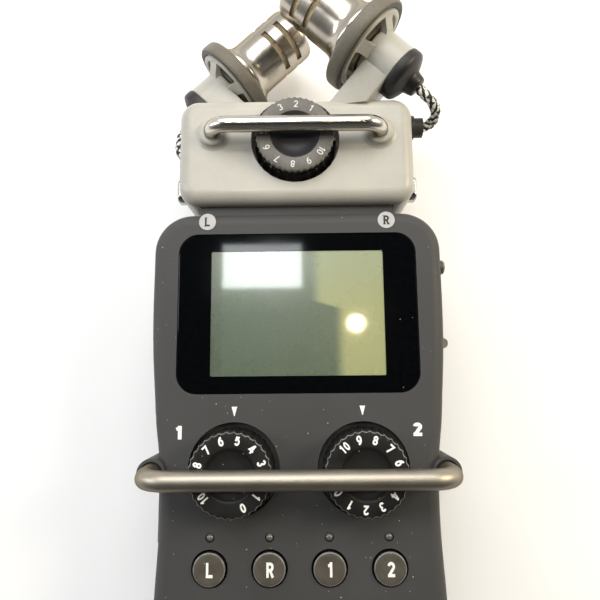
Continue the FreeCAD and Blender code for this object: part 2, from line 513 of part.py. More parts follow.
rbh.Placement = FreeCAD.Placement(V(-35, RB_Y, RB_Z), FreeCAD.Rotation(V(0, 1, 0), 90))
hollow_band = box(-BLK_HALF + 6, BLK_HALF - 6, 40, 80, 0, 40)
cf = cut(cf, cut(rbh, hollow_band))
gy, gz = GLAND["right"]
cf = cut(cf, cyl_x(gy, gz, 20, 30, 1.6))
add("capsule_front_shell", cf)

cr = blk.common(box(-40, 40, 40, 80, 0, BLK_PART))
cr = cut(cr, inner.common(box(-40, 40, 40, 80, 0, BLK_PART + 1)))
CPOSTS = [(-19.0, 49.6), (19.0, 49.6)]
gy, gz = GLAND["left"]
cr = cut(cr, cyl_x(gy, gz, -30, -20, 1.6))
cposts = [cyl(x, y, BLK_Z0 + 1.7, BLK_PART, 2.4) for x, y in CPOSTS]
cr = fuse([cr] + cposts)
for x, y in CPOSTS:
    cr = cut(cr, cyl(x, y, 0, 40, 1.25), cyl(x, y, 0, 7.0, 2.1))
cr = cut(cr, box(-PLUG_HALF + 2, PLUG_HALF - 2, 40, 46, PLUG_Z0 + 1, BLK_PART + 1))
add("capsule_rear_shell", cr)
add("capsule_screws", Part.makeCompound([
    fuse([cut(cyl(x, y, 5.0, 7.0, 1.9), box(x - 1.2, x + 1.2, y - 0.25, y + 0.25, 4, 5.8),
              box(x - 0.25, x + 0.25, y - 1.2, y + 1.2, 4, 5.8)), cyl(x, y, 7.0, 15.6, 1.0)]) for x, y in CPOSTS]))

# dark collar between the block and the main unit, with the plug it carries
nk = cut(neck, blk)
nk = cut(nk, box(-PLUG_HALF + 2, PLUG_HALF - 2, 40, 46, PLUG_Z0 + 1, PLUG_Z1 - 1))
pl = rbox(-PLUG_HALF, PLUG_HALF, PLUG_Z0, PLUG_Z1, 0, TOP_Y + 0.05 - PLUG_Y0, 1.2)
pl.Placement = FreeCAD.Placement(V(0, TOP_Y + 0.05, 0), FreeCAD.Rotation(V(1, 0, 0), 90))
pl = cut(pl, box(-PLUG_HALF + 1.4, PLUG_HALF - 1.4, PLUG_Y0 - 1, PLUG_Y0 + 8.0, PLUG_Z0 + 1.4, PLUG_Z1 - 1.4))
tongue = [box(-9.6, 9.6, PLUG_Y0 + 1.0, PLUG_Y0 + 7.9, 11.6, 12.4)]
pins = [box(-8.6 + 1.9 * i, -7.8 + 1.9 * i, PLUG_Y0 + 1.2, PLUG_Y0 + 7.8, 12.4, 12.7) for i in range(10)]
add("capsule_plug", fuse([nk, pl] + tongue + pins))
cb = box(-22.0, 22.0, 46.0, 65.8, 17.0, 18.2)
cb = cut(cb, *[cyl(x, y, 16, 20, 2.7) for x, y in CPOSTS])
add("capsule_circuit_board", cb)

# microphone gain dial and its potentiometer
pt = fuse([box(DIAL_X - 5.0, DIAL_X + 5.0, DIAL_Y - 5.5, DIAL_Y + 5.5, 18.2, 21.0), cyl(DIAL_X, DIAL_Y, 21.0, 23.4, 2.3)])
add("dial_potentiometer", cut(pt, cyl(DIAL_X, DIAL_Y, 18.9, 24, SHAFT_R + 0.06)))
dl = dial(DIAL_R, 24.0, DIAL_TOP, 40, 5.0, 19.2, DIAL_SKIRT_R, 30.6)
dl.translate(V(DIAL_X, DIAL_Y, 0))
add("mic_gain_dial", dl)

add("upper_guard_bar", bar(UBAR_X, UBAR_Y, 24.0, UBAR_Z, UBAR_R, UBAR_BEND, "upper_guard_bar"))

# release buttons on the two sides of the block
for name, sx in (("release_button_left", -1), ("release_button_right", 1)):
    b = rbox(-2.3, 2.3, -2.8, 2.8, 0, 4.9, 1.4)
    b = b.makeFillet(0.5, edges_at(b, 4.9))
    b.Placement = FreeCAD.Placement(V(23.5, RB_Y, RB_Z), FreeCAD.Rotation(V(0, 1, 0), 90))
    b = fuse([b, box(23.0, 23.6, RB_Y - 1.7, RB_Y + 3.9, RB_Z - 2.4, RB_Z + 3.2)])
    if sx < 0:
        b = b.mirror(V(0, 0, 0), V(1, 0, 0))
    add(name, b)

# ------------------------------------------------------------- microphones
def mic_place(shape, side):
    """From a local frame (Z along the microphone axis, tyre centre at 0)."""
    sx = 1 if side == "right" else -1
    zax = V(-sx * MIC_C, MIC_S, 0)
    xax = V(sx * MIC_S, MIC_C, 0)      # away from the block
    yax = zax.cross(xax)
    m = FreeCAD.Matrix(xax.x, yax.x, zax.x, sx * MIC_X,
                       xax.y, yax.y, zax.y, MIC_Y,
                       xax.z, yax.z, zax.z, MIC_Z[side], 0, 0, 0, 1)
    s = shape.copy()
    s.Placement = FreeCAD.Placement(m)
    return s


def up_sign(side):
    """Local Y is up on one side and down on the other."""
    return 1.0 if side == "left" else -1.0


tyre = revolve([(TYRE_RI, -1.45), (TYRE_RI + 0.5, -1.75), (TYRE_R - 0.9, -1.75), (TYRE_R - 0.25, -1.3),
                (TYRE_R, -0.6), (TYRE_R, 0.6), (TYRE_R - 0.25, 1.3), (TYRE_R - 0.9, 1.75),
                (TYRE_RI + 0.5, 1.75), (TYRE_RI, 1.45)])
barrel = revolve([(6.3, -2.4), (6.6, -2.4), (6.6, 1.9), (8.1, 2.3), (8.3, 2.9), (8.1, 3.6), (BARREL_R + 0.1, 4.6),
                  (BARREL_R, 6.0), (BARREL_R, 19.6), (BARREL_R - 0.25, 20.7), (BARREL_R - 0.9, BARREL_END),
                  (6.0, BARREL_END), (6.0, 0.5), (6.3, 0.5)])
for s in (12.6, 16.7):
    ring = revolve([(5.5, s - 0.75), (8.0, s - 0.75), (8.0, s + 0.75), (5.5, s + 0.75)])
    for i in range(3):
        w = box(-9, 9, -0.8, 0.8, s - 1, s + 1)
        w.rotate(V(0, 0, 0), V(0, 0, 1), 60 * i + 15)
        ring = ring.cut(w)
    barrel = barrel.cut(ring)
mesh_tube = revolve([(5.55, 10.9), (5.95, 10.9), (5.95, 18.5), (5.55, 18.5)])
grille = revolve([(0, 18.8), (5.95, 18.8), (5.95, 19.7), (0, 20.2)])
element = revolve([(0, -2.0), (5.2, -2.0), (5.2, 10.4), (0, 10.4)])
cap = revolve([(0, HUB_S1), (CAP_R - 0.2, HUB_S1), (CAP_R, HUB_S1 - 0.3), (CAP_R, CAP_S1 + 2.0), (CAP_R - 0.7, CAP_S1 + 1.1),
               (CAP_R - 1.9, CAP_S1 + 0.4), (BOOT_R + 0.35, CAP_S1), (BOOT_R, CAP_S1 - 0.3), (BOOT_R - 0.5, BOOT_S1), (0, BOOT_S1)])

# the arm's side view: hub at the origin, block towards -t
ARM = {"right": [(0, 5.0), (-4.6, 3.86), (-22, -1.9), (-22, -13.0), (-9, -8.6), (0, -5.9)],
       "left": [(0, 5.9), (-0.8, 5.94), (-22, 8.8), (-22, -6.4), (-9, -6.6), (0, -5.9)]}
tyres, barrels, meshes, grilles, elements, caps = [], [], [], [], [], []
for side in ("left", "right"):
    u = up_sign(side)
    pts = [V(t, u * z, HUB_S1) for t, z in ARM[side]]
    arm = Part.Face(Part.makePolygon(pts + [pts[0]])).extrude(V(0, 0, HUB_S0 - 1.1 - HUB_S1))
    hub = cyl(0, 0, HUB_S1, HUB_S0, HUB_R)
    rim = revolve([(8.5, -2.2), (TYRE_RI - 0.5, -2.2), (TYRE_RI - 0.05, -1.75), (TYRE_RI - 0.05, 1.5), (8.5, 1.5)])
    parts = [arm, hub, rim]
    for a in (57, 123, 237, 303):
        sp = box(5.0, 9.0, -1.5, 1.5, -4.2, -2.5)
        sp.rotate(V(0, 0, 0), V(0, 0, 1), a)
        parts.append(sp)
        sq = box(8.5, 9.3, -1.5, 1.5, -3.4, -1.9)
        sq.rotate(V(0, 0, 0), V(0, 0, 1), a)
        parts.append(sq)
    a = mic_place(fuse(parts), side)
    a = cut(a, blk)
    a = cut(a, box(-40, 40, 30, BLK_Y1 - 3.0, -5, 45))
    sol = sorted(a.Solids, key=lambda q: -q.Volume)[0]
    add("mic_arm_" + side, sol)
    tyres.append(mic_place(tyre, side))
    barrels.append(mic_place(barrel, side))
    meshes.append(mic_place(mesh_tube, side))
    grilles.append(mic_place(grille, side))
    elements.append(mic_place(element, side))
    caps.append(mic_place(cap, side))
add("mic_tyres", Part.makeCompound(tyres))
add("mic_barrels", Part.makeCompound(barrels))
add("mic_screens", Part.makeCompound(meshes + grilles))
add("mic_elements", Part.makeCompound(elements))
add("mic_end_caps", Part.makeCompound(caps))

# ------------------------------------------------------- leads and glands
LEADS = {
    "right": [(MIC_X - BOOT_S1 * MIC_C, MIC_Y + BOOT_S1 * MIC_S, MIC_Z["right"]), (30.2, 68.5, 29.9), (33.0, 66.9, 27.2),
              (33.2, 65.2, 22.3), (30.4, 64.3, 22.0)],
    "left": [(-MIC_X + BOOT_S1 * MIC_C, MIC_Y + BOOT_S1 * MIC_S, MIC_Z["left"]), (-29.6, 68.6, 12.4), (-30.7, 65.0, 12.8),
             (-30.2, 61.6, 13.0), (-28.1, 60.9, 13.0)]}
add("mic_leads", Part.makeCompound([tube_path(LEADS[side], LEAD_R, "mic lead " + side) for side in ("left", "right")]))
gl = []
gy, gz = GLAND["right"]
g = fuse([cyl_x(gy, gz, BLK_HALF, 28.2, 2.9), cyl_x(gy, gz, 28.2, 30.4, 2.35), cyl_x(gy, gz, 24.9, BLK_HALF, 1.55)])
gl.append(g)
gy, gz = GLAND["left"]
g = fuse([cyl_x(gy, gz, -28.1, -BLK_HALF, 2.6), cyl_x(gy, gz, -BLK_HALF, -24.9, 1.55)])
gl.append(g)
add("lead_glands", Part.makeCompound(gl))

# ------------------------------------------------------------------ export
for name in sorted(PARTS):
    PARTS[name].exportStep("parts/%s.step" % name)
print(len(PARTS), "sub-parts")
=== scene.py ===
import bpy, bmesh, math, random
from mathutils import Vector, Matrix


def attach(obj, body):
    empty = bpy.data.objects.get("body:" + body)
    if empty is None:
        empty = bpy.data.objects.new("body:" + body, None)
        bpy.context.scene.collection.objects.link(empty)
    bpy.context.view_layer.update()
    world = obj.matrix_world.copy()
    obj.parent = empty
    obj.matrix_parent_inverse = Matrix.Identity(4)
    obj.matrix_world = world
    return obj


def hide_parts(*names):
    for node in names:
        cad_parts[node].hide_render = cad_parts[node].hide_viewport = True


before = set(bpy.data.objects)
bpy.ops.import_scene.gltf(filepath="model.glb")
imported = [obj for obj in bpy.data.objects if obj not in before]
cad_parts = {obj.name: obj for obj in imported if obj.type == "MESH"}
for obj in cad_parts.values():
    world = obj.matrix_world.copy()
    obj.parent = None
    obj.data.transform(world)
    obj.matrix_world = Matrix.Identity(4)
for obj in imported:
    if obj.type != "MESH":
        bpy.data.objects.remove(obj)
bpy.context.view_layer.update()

MM = 0.001
random.seed(7)
PI = math.pi

# ------------------------------------------------------------------ measures
PANEL = 31.0
KNOB_X, KNOB_Y, KNOB_R, KNOB_Z0, KNOB_TOP = 13.4, -13.8, 8.45, 28.6, 37.8
BTN_X = [-18.15, -6.05, 6.05, 18.15]
BTN_Y, LED_Y = -33.0, -27.1
DIAL = (-0.2, 57.9)
MC, MS = math.cos(math.radians(43.0)), math.sin(math.radians(43.0))
MIC = {"right": (16.1, 81.75, 30.0), "left": (-16.1, 81.75, 12.4)}


# ------------------------------------------------------------------ materials
# materials laid out in the piece's own frame, kept in the mesh as "loc"
LOCAL = {"barrel_nickel", "bronze_mesh", "tyre_rubber", "cap_rubber_local"}


class Graph:
    def __init__(self, name):
        self.m = bpy.data.materials.new(name)
        self.m.use_nodes = True
        self.t = self.m.node_tree
        self.t.nodes.clear()
        self.out = self.t.nodes.new("ShaderNodeOutputMaterial")
        self.b = self.t.nodes.new("ShaderNodeBsdfPrincipled")
        self.t.links.new(self.b.outputs[0], self.out.inputs[0])
        if name in LOCAL:
            at_ = self.t.nodes.new("ShaderNodeAttribute")
            at_.attribute_name = "loc"
            self.pos = at_.outputs["Vector"]
        else:
            self.tc = self.t.nodes.new("ShaderNodeTexCoord")
            self.pos = self.tc.outputs["Object"]

    def link(self, a, sock):
        if hasattr(a, "is_output"):
            self.t.links.new(a, sock)
        elif a is not None:
            sock.default_value = a

    def scale(self, v, s):
        n = self.t.nodes.new("ShaderNodeVectorMath")
        n.operation = "MULTIPLY"
        self.link(v, n.inputs[0])
        n.inputs[1].default_value = s if hasattr(s, "__len__") else (s, s, s)
        return n.outputs[0]

    def noise(self, freq, detail=3.0, rough=0.55, vec=None, dist=0.0):
        n = self.t.nodes.new("ShaderNodeTexNoise")
        self.link(self.scale(vec if vec is not None else self.pos, freq), n.inputs["Vector"])
        n.inputs["Scale"].default_value = 1.0
        n.inputs["Detail"].default_value = detail
        n.inputs["Roughness"].default_value = rough
        n.inputs["Distortion"].default_value = dist
        return n.outputs["Fac"]

    def voronoi(self, freq, feature="F1", vec=None, out="Distance"):
        n = self.t.nodes.new("ShaderNodeTexVoronoi")
        n.feature = feature
        self.link(self.scale(vec if vec is not None else self.pos, freq), n.inputs["Vector"])
        n.inputs["Scale"].default_value = 1.0
        return n.outputs[out]

    def math(self, op, a, b=None, c=None, clamp=False):
        n = self.t.nodes.new("ShaderNodeMath")
        n.operation = op
        n.use_clamp = clamp
        self.link(a, n.inputs[0])
        if b is not None:
            self.link(b, n.inputs[1])
        if c is not None:
            self.link(c, n.inputs[2])
        return n.outputs[0]

    def map(self, v, a0, a1, b0=0.0, b1=1.0, smooth=False):
        n = self.t.nodes.new("ShaderNodeMapRange")
        n.interpolation_type = "SMOOTHSTEP" if smooth else "LINEAR"
        self.link(v, n.inputs["Value"])
        for k, x in zip(("From Min", "From Max", "To Min", "To Max"), (a0, a1, b0, b1)):
            n.inputs[k].default_value = x
        return n.outputs["Result"]

    def mix(self, fac, a, b):
        n = self.t.nodes.new("ShaderNodeMix")
        n.data_type = "RGBA"
        self.link(fac, n.inputs["Factor"])
        for v, s in ((a, n.inputs["A"]), (b, n.inputs["B"])):
            if hasattr(v, "is_output"):
                self.t.links.new(v, s)
        sa, sb = [i for i in n.inputs if i.type == "RGBA"]
        self.link(a if hasattr(a, "is_output") else (*a[:3], 1.0), sa)
        self.link(b if hasattr(b, "is_output") else (*b[:3], 1.0), sb)
        return [o for o in n.outputs if o.type == "RGBA"][0]

    def xyz(self, v=None):
        n = self.t.nodes.new("ShaderNodeSeparateXYZ")
        self.link(v if v is not None else self.pos, n.inputs[0])
        return n.outputs

    def bump(self, height, dist, strength=1.0, normal=None):
        n = self.t.nodes.new("ShaderNodeBump")
        self.link(height, n.inputs["Height"])
        n.inputs["Distance"].default_value = dist
        n.inputs["Strength"].default_value = strength
        if normal is not None:
            self.link(normal, n.inputs["Normal"])
        return n.outputs[0]

    def edge(self, radius, samples=4, lo=0.02, hi=0.25):
        """Mask that is 1 along convex or concave edges."""
        bv = self.t.nodes.new("ShaderNodeBevel")
        bv.samples = samples
        bv.inputs["Radius"].default_value = radius
        g = self.t.nodes.new("ShaderNodeNewGeometry")
        d = self.t.nodes.new("ShaderNodeVectorMath")
        d.operation = "DOT_PRODUCT"
        self.link(bv.outputs[0], d.inputs[0])
        self.link(g.outputs["Normal"], d.inputs[1])
        return self.map(d.outputs["Value"], 1.0 - lo, 1.0 - hi, 0.0, 1.0)

    def set(self, **kw):
        for k, v in kw.items():
            s = self.b.inputs[k.replace("_", " ")]
            if s.type == "RGBA" and not hasattr(v, "is_output"):
                v = (*v[:3], 1.0)
            self.link(v, s)
        return self.m


def plastic(name, col, rough, grain=1500.0, grain_d=0.000012, var=0.12, spec=0.5, rvar=0.08, specks=0.0, coat=0.0, wear=0.0, wear_col=(0.3, 0.3, 0.3), sheen=0.0, broad=60.0):
    g = Graph(name)
    big = g.noise(broad, 4, 0.6)
    fine = g.noise(grain, 2, 0.5)
    dark = tuple(c * (1 - var) for c in col)
    light = tuple(c * (1 + var) for c in col)
    c = g.mix(g.map(big, 0.35, 0.65), dark, light)
    c = g.mix(g.map(fine, 0.3, 0.7, 0.0, 0.35), c, tuple(x * (1 + 1.2 * var) for x in col))
    r = g.map(g.math("ADD", g.math("MULTIPLY", big, 0.7), g.math("MULTIPLY", fine, 0.3)), 0.3, 0.7, rough - rvar, rough + rvar)
    if wear > 0:
        e = g.edge(0.00035)
        e = g.math("MULTIPLY", e, g.map(g.noise(420, 3, 0.6), 0.42, 0.62))
        c = g.mix(g.math("MULTIPLY", e, wear), c, wear_col)
    if specks > 0:
        d = g.voronoi(480.0)
        pick = g.voronoi(480.0, out="Color")
        p = g.xyz(pick)[0]
        s = g.math("MULTIPLY", g.math("LESS_THAN", d, 0.060), g.math("GREATER_THAN", p, 0.72))
        d2 = g.voronoi(1100.0)
        p2 = g.xyz(g.voronoi(1100.0, out="Color"))[1]
        s2 = g.math("MULTIPLY", g.math("LESS_THAN", d2, 0.085), g.math("GREATER_THAN", p2, 0.88))
        s = g.math("MULTIPLY", g.math("MAXIMUM", s, s2), specks)
        c = g.mix(s, c, (0.42, 0.42, 0.43))
    n = g.bump(fine, grain_d, 1.0)
    g.set(Base_Color=c, Roughness=r, Normal=n)
    g.b.inputs["Specular IOR Level"].default_value = spec
    if coat:
        g.b.inputs["Coat Weight"].default_value = coat
        g.b.inputs["Coat Roughness"].default_value = 0.08
    if sheen:
        g.b.inputs["Sheen Weight"].default_value = sheen
        g.b.inputs["Sheen Roughness"].default_value = 0.4
    return g.m


def metal(name, col, rough, scratch=(900.0, 900.0, 60.0), var=0.08, rvar=0.06, bump_d=0.000004, smudge=120.0, wear=0.0, tint=(1.0, 1.0, 1.0)):
    g = Graph(name)
    sc = g.noise(1.0, 3, 0.6, vec=g.scale(g.pos, scratch))
    sm = g.noise(smudge, 4, 0.6)
    c = g.mix(g.map(sm, 0.3, 0.7), tuple(x * (1 - var) for x in col), tuple(min(1, x * (1 + var * 0.6)) for x in col))
    r = g.map(g.math("ADD", g.math("MULTIPLY", sc, 0.5), g.math("MULTIPLY", sm, 0.5)), 0.3, 0.7, max(0.02, rough - rvar), rough + rvar)
    g.set(Base_Color=c, Roughness=r, Normal=g.bump(sc, bump_d, 1.0))
    g.b.inputs["Metallic"].default_value = 1.0
    g.b.inputs["Specular Tint"].default_value = (*tint, 1.0)
    return g.m


def rubber(name, col, rough=0.55, tread_sheen=None):
    g = Graph(name)
    big = g.noise(150, 4, 0.6)
    fine = g.noise(2600, 2, 0.6)
    e = g.edge(0.0003)
    c = g.mix(g.map(big, 0.35, 0.65), tuple(x * 0.75 for x in col), tuple(x * 1.35 for x in col))
    c = g.mix(g.math("MULTIPLY", e, 0.30), c, (0.13, 0.13, 0.13))
    if tread_sheen:
        # painted sheen: the running surface is painted paler and warmer than the side walls
        x, y, z = g.xyz()
        r = g.math("SQRT", g.math("ADD", g.math("MULTIPLY", x, x), g.math("MULTIPLY", y, y)))
        t = g.math("MULTIPLY", g.map(r, 0.01115, 0.01165, 0.0, 1.0, smooth=True), g.map(fine, 0.25, 0.7, 0.65, 1.0))
        c = g.mix(t, c, tread_sheen)
    g.set(Base_Color=c, Roughness=g.map(big, 0.3, 0.7, rough - 0.1, rough + 0.12), Normal=g.bump(fine, 0.00001))
    g.b.inputs["Specular IOR Level"].default_value = 0.4
    return g.m


M = {}
M["body"] = plastic("body_soft_touch", (0.047, 0.0465, 0.047), 0.58, grain=3200, grain_d=0.000008, var=0.10, spec=0.42, specks=1.0, wear=0.25, wear_col=(0.16, 0.16, 0.17), broad=35.0)
M["paint"] = plastic("capsule_paint", (0.440, 0.426, 0.380), 0.42, grain=2100, grain_d=0.000012, var=0.11, spec=0.5, specks=0.10, wear=0.15, wear_col=(0.75, 0.73, 0.70), coat=0.15, broad=45.0)
M["bar"] = metal("guard_bar_steel", (0.385, 0.35, 0.295), 0.44, scratch=(60.0, 1800.0, 1800.0), rvar=0.05, tint=(0.35, 0.31, 0.26))
M["bar_bright"] = metal("upper_bar_steel", (0.68, 0.645, 0.585), 0.22, scratch=(60.0, 1500.0, 1500.0), rvar=0.04, bump_d=0.000002, tint=(0.35, 0.31, 0.26))
M["nickel"] = metal("barrel_nickel", (0.52, 0.48, 0.415), 0.24, scratch=(40.0, 40.0, 2600.0), rvar=0.05, bump_d=0.000004, tint=(0.45, 0.40, 0.34))
M["chrome"] = metal("release_chrome", (0.50, 0.49, 0.46), 0.22, rvar=0.04, bump_d=0.000002)
M["knob"] = plastic("knob_black", (0.0085, 0.0085, 0.009), 0.36, grain=3000, grain_d=0.000006, var=0.2, specks=0.6, spec=0.5, broad=180.0)
M["knob_top"] = plastic("knob_top_black", (0.0065, 0.0065, 0.0065), 0.46, grain=2600, grain_d=0.000008, var=0.25, specks=0.8, spec=0.34, broad=200.0)
# the narrow rounded top edge of the gain knobs and of the mic gain dial is painted a pale grey band
M["knob_edge"] = plastic("knob_pale_top_edge", (0.17, 0.165, 0.155), 0.35, grain=1400, var=0.35, broad=700.0)
M["dial_top"] = plastic("dial_top_grey", (0.108, 0.100, 0.087), 0.45, grain=2600, grain_d=0.00001, var=0.3, specks=0.3, spec=0.5, broad=240.0)
M["dial_dish"] = plastic("dial_dish_black", (0.014, 0.014, 0.016), 0.42, grain=2600, grain_d=0.000008, var=0.25, specks=0.3, broad=200.0)
M["dial_skirt"] = plastic("dial_skirt_black", (0.008, 0.008, 0.008), 0.24, grain=2600, grain_d=0.000004, var=0.25, broad=200.0)
M["button"] = plastic("button_warm_grey", (0.072, 0.063, 0.050), 0.45, grain=2600, grain_d=0.000008, var=0.18, specks=0.5, broad=250.0)
# painted highlight: a pale band on the button chamfers and on the menu button's rounded end, for the bright edge line
M["button_edge"] = plastic("button_chamfer_painted_highlight", (0.16, 0.155, 0.15), 0.32, grain=1500, var=0.3, broad=700.0)
M["rec"] = plastic("record_red", (0.42, 0.014, 0.012), 0.38, grain=2600, grain_d=0.000006, var=0.12, specks=0.3, broad=200.0)
M["switch_metal"] = metal("switch_metal", (0.42, 0.36, 0.31), 0.30)
M["switch_plastic"] = plastic("switch_plastic", (0.06, 0.06, 0.063), 0.42, wear=0.3, broad=200.0)
M["board"] = plastic("board_green", (0.012, 0.10, 0.045), 0.3, grain=700, var=0.3, coat=0.4)
M["component"] = plastic("component_black", (0.016, 0.016, 0.017), 0.45, grain=1200, var=0.25, wear=0.2, wear_col=(0.06, 0.06, 0.06))
M["jack"] = plastic("jack_black_nylon", (0.012, 0.012, 0.013), 0.34, grain=900, var=0.25, wear=0.3, wear_col=(0.08, 0.08, 0.08))
M["contact"] = metal("contact_steel", (0.62, 0.61, 0.58), 0.28)
M["cell"] = plastic("cell_sleeve", (0.10, 0.105, 0.12), 0.3, coat=0.4, var=0.1)
M["card"] = plastic("card_blue", (0.012, 0.03, 0.13), 0.4, var=0.15)
M["brass"] = metal("insert_brass", (0.62, 0.44, 0.17), 0.28)
M["lens"] = plastic("lamp_lens", (0.12, 0.11, 0.10), 0.18, grain=1500, var=0.25, coat=0.6, broad=900.0)
M["disc"] = plastic("disc_light_print", (0.45, 0.45, 0.465), 0.42, grain=2600, var=0.06, specks=0.2, broad=500.0)
# painted sheen: the tread colour paints the tyre's running surface paler and warmer
M["rubber"] = rubber("tyre_rubber", (0.028, 0.027, 0.025), 0.48, tread_sheen=(0.185, 0.165, 0.130))
M["rubber_cap"] = rubber("cap_rubber_local", (0.017, 0.016, 0.015), 0.42)
M["gland"] = rubber("gland_rubber", (0.030, 0.028, 0.026), 0.5)
M["white"] = plastic("print_white", (0.86, 0.86, 0.85), 0.5, grain=2600, var=0.05, broad=900.0)
M["white_soft"] = plastic("print_soft_white", (0.68, 0.68, 0.66), 0.5, grain=2600, var=0.08, broad=900.0)
M["print_black"] = plastic("print_black", (0.01, 0.01, 0.01), 0.5, grain=2600, var=0.2, broad=900.0)
M["back"] = plastic("backlight_white", (0.72, 0.75, 0.72), 0.5)
M["strand_white"] = plastic("braid_white", (0.78, 0.77, 0.73), 0.7, grain=9000, grain_d=0.00003, var=0.12, broad=2500.0, sheen=0.3)
M["strand_black"] = plastic("braid_black", (0.012, 0.012, 0.012), 0.6, grain=9000, grain_d=0.00003, var=0.3, broad=2500.0, sheen=0.2)
M["element"] = metal("element_can", (0.6, 0.6, 0.6), 0.35)


def window_material():
    g = Graph("window_gloss_black")
    sm = g.noise(55, 5, 0.62)
    fine = g.noise(900, 2, 0.5)
    d = g.voronoi(360.0)
    p = g.xyz(g.voronoi(360.0, out="Color"))[0]
    s = g.math("MULTIPLY", g.math("LESS_THAN", d, 0.05), g.math("GREATER_THAN", p, 0.78))
    c = g.mix(g.map(fine, 0.3, 0.7), (0.0009, 0.0013, 0.0020), (0.0020, 0.0022, 0.0026))
    c = g.mix(g.math("MULTIPLY", s, 0.6), c, (0.35, 0.35, 0.36))
    g.set(Base_Color=c, Roughness=g.map(sm, 0.35, 0.7, 0.04, 0.08), Normal=g.bump(g.noise(25, 2, 0.5), 0.00002, 0.35))
    g.b.inputs["Specular IOR Level"].default_value = 0.22
    return g.m


def lcd_material():
    g = Graph("lcd_grey_green")
    x, y, z = g.xyz()
    # painted reflections over the panel (a warm patch at the right, lighter towards the top), painted shade along the
    # left edge, a faint dot grid and a few smudges
    gx = g.map(x, -0.0187, 0.0187)
    gy = g.map(y, 0.00516, 0.03216)
    # painted reflection: a warm yellow patch over the right part with a stepped edge, darker towards the lower left
    base = g.mix(g.map(g.math("SUBTRACT", gx, g.map(gy, 0.52, 0.60, 0.735, 0.60, smooth=True)), -0.03, 0.05, smooth=True), (0.078, 0.108, 0.070), (0.315, 0.330, 0.155))
    # painted reflection: lighter towards the top
    base = g.mix(g.map(gy, 0.45, 1.0, 0.0, 0.45, smooth=True), base, (0.30, 0.37, 0.28))
    # painted shade: a dark strip along the left edge, for the inner shadow of the recess
    base = g.mix(g.map(gx, 0.07, 0.055, 0.0, 0.45), base, (0.06, 0.07, 0.05))
    sm = g.noise(70, 5, 0.65)
    base = g.mix(g.map(sm, 0.35, 0.75, 0.0, 0.02), base, (0.36, 0.38, 0.30))
    k = 2 * PI / 0.000292
    dots = g.math("MULTIPLY", g.math("SINE", g.math("MULTIPLY", x, k)), g.math("SINE", g.math("MULTIPLY", y, k)))
    base = g.mix(g.map(dots, 0.2, 1.0, 0.0, 0.10), base, (0.20, 0.23, 0.20))
    fine = g.noise(1600, 2, 0.5)
    base = g.mix(g.map(fine, 0.3, 0.7, 0.0, 0.10), base, (0.25, 0.28, 0.25))
    g.set(Base_Color=base, Roughness=g.map(sm, 0.3, 0.7, 0.22, 0.34), Normal=g.bump(fine, 0.000004))
    g.b.inputs["Coat Weight"].default_value = 1.0
    g.b.inputs["Coat Roughness"].default_value = 0.05
    return g.m


def screen_material():
    """Woven bronze mesh: warp round the barrel, weft along it."""
    g = Graph("bronze_mesh")
    x, y, z = g.xyz()
    ang = g.math("ARCTAN2", y, x)
    a = g.math("SINE", g.math("MULTIPLY", ang, 96.0))
    b = g.math("SINE", g.math("MULTIPLY", z, 2 * PI / 0.00042))
    w = g.math("MULTIPLY", a, b)
    n = g.noise(1800, 2, 0.6)
    c = g.mix(g.map(w, -0.35, 0.5), (0.10, 0.070, 0.040), (0.95, 0.76, 0.50))
    c = g.mix(g.map(n, 0.4, 0.7, 0.0, 0.5), c, (0.75, 0.62, 0.42))
    g.set(Base_Color=c, Roughness=g.map(n, 0.3, 0.7, 0.25, 0.5), Metallic=g.map(w, -0.4, 0.0), Normal=g.bump(w, 0.00009, 1.0))
    return g.m


M["window"] = window_material()
M["lcd"] = lcd_material()
M["screen"] = screen_material()


# ------------------------------------------------------------------ geometry
def place(me, matrix):
    """Keep the local coordinates as an attribute, then move the vertices."""
    a = me.attributes.new("loc", "FLOAT_VECTOR", "POINT")
    for v in me.vertices:
        a.data[v.index].vector = v.co
    if matrix is not None:
        me.transform(matrix)


def finish_mesh(me, angle=35.0):
    for p in me.polygons:
        p.use_smooth = True
    me.set_sharp_from_angle(angle=math.radians(angle))


def obj_from(name, verts, faces, mats, body=None, mat_ids=None, angle=35.0, matrix=None, clean=True):
    me = bpy.data.meshes.new(name)
    me.from_pydata([tuple(c * MM for c in v) for v in verts], [], faces)
    for m in (mats if isinstance(mats, (list, tuple)) else [mats]):
        me.materials.append(m)
    if mat_ids:
        for p, i in zip(me.polygons, mat_ids):
            p.material_index = i
    if clean:
        bm = bmesh.new()
        bm.from_mesh(me)
        bmesh.ops.remove_doubles(bm, verts=bm.verts, dist=1e-8)
        bmesh.ops.recalc_face_normals(bm, faces=bm.faces)
        bm.to_mesh(me)
        bm.free()
    place(me, matrix)
    finish_mesh(me, angle)
    o = bpy.data.objects.new(name, me)
    bpy.context.collection.objects.link(o)
    if body:
        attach(o, body)
    return o


def ring_surface(rings, closed_ends=True):
    """rings: list of equal-length loops of points, joined by quads."""
    n = len(rings[0])
    verts = [p for r in rings for p in r]
    faces = []
    for k in range(len(rings) - 1):
        for i in range(n):
            j = (i + 1) % n
            faces.append((k * n + i, k * n + j, (k + 1) * n + j, (k + 1) * n + i))
    return verts, faces


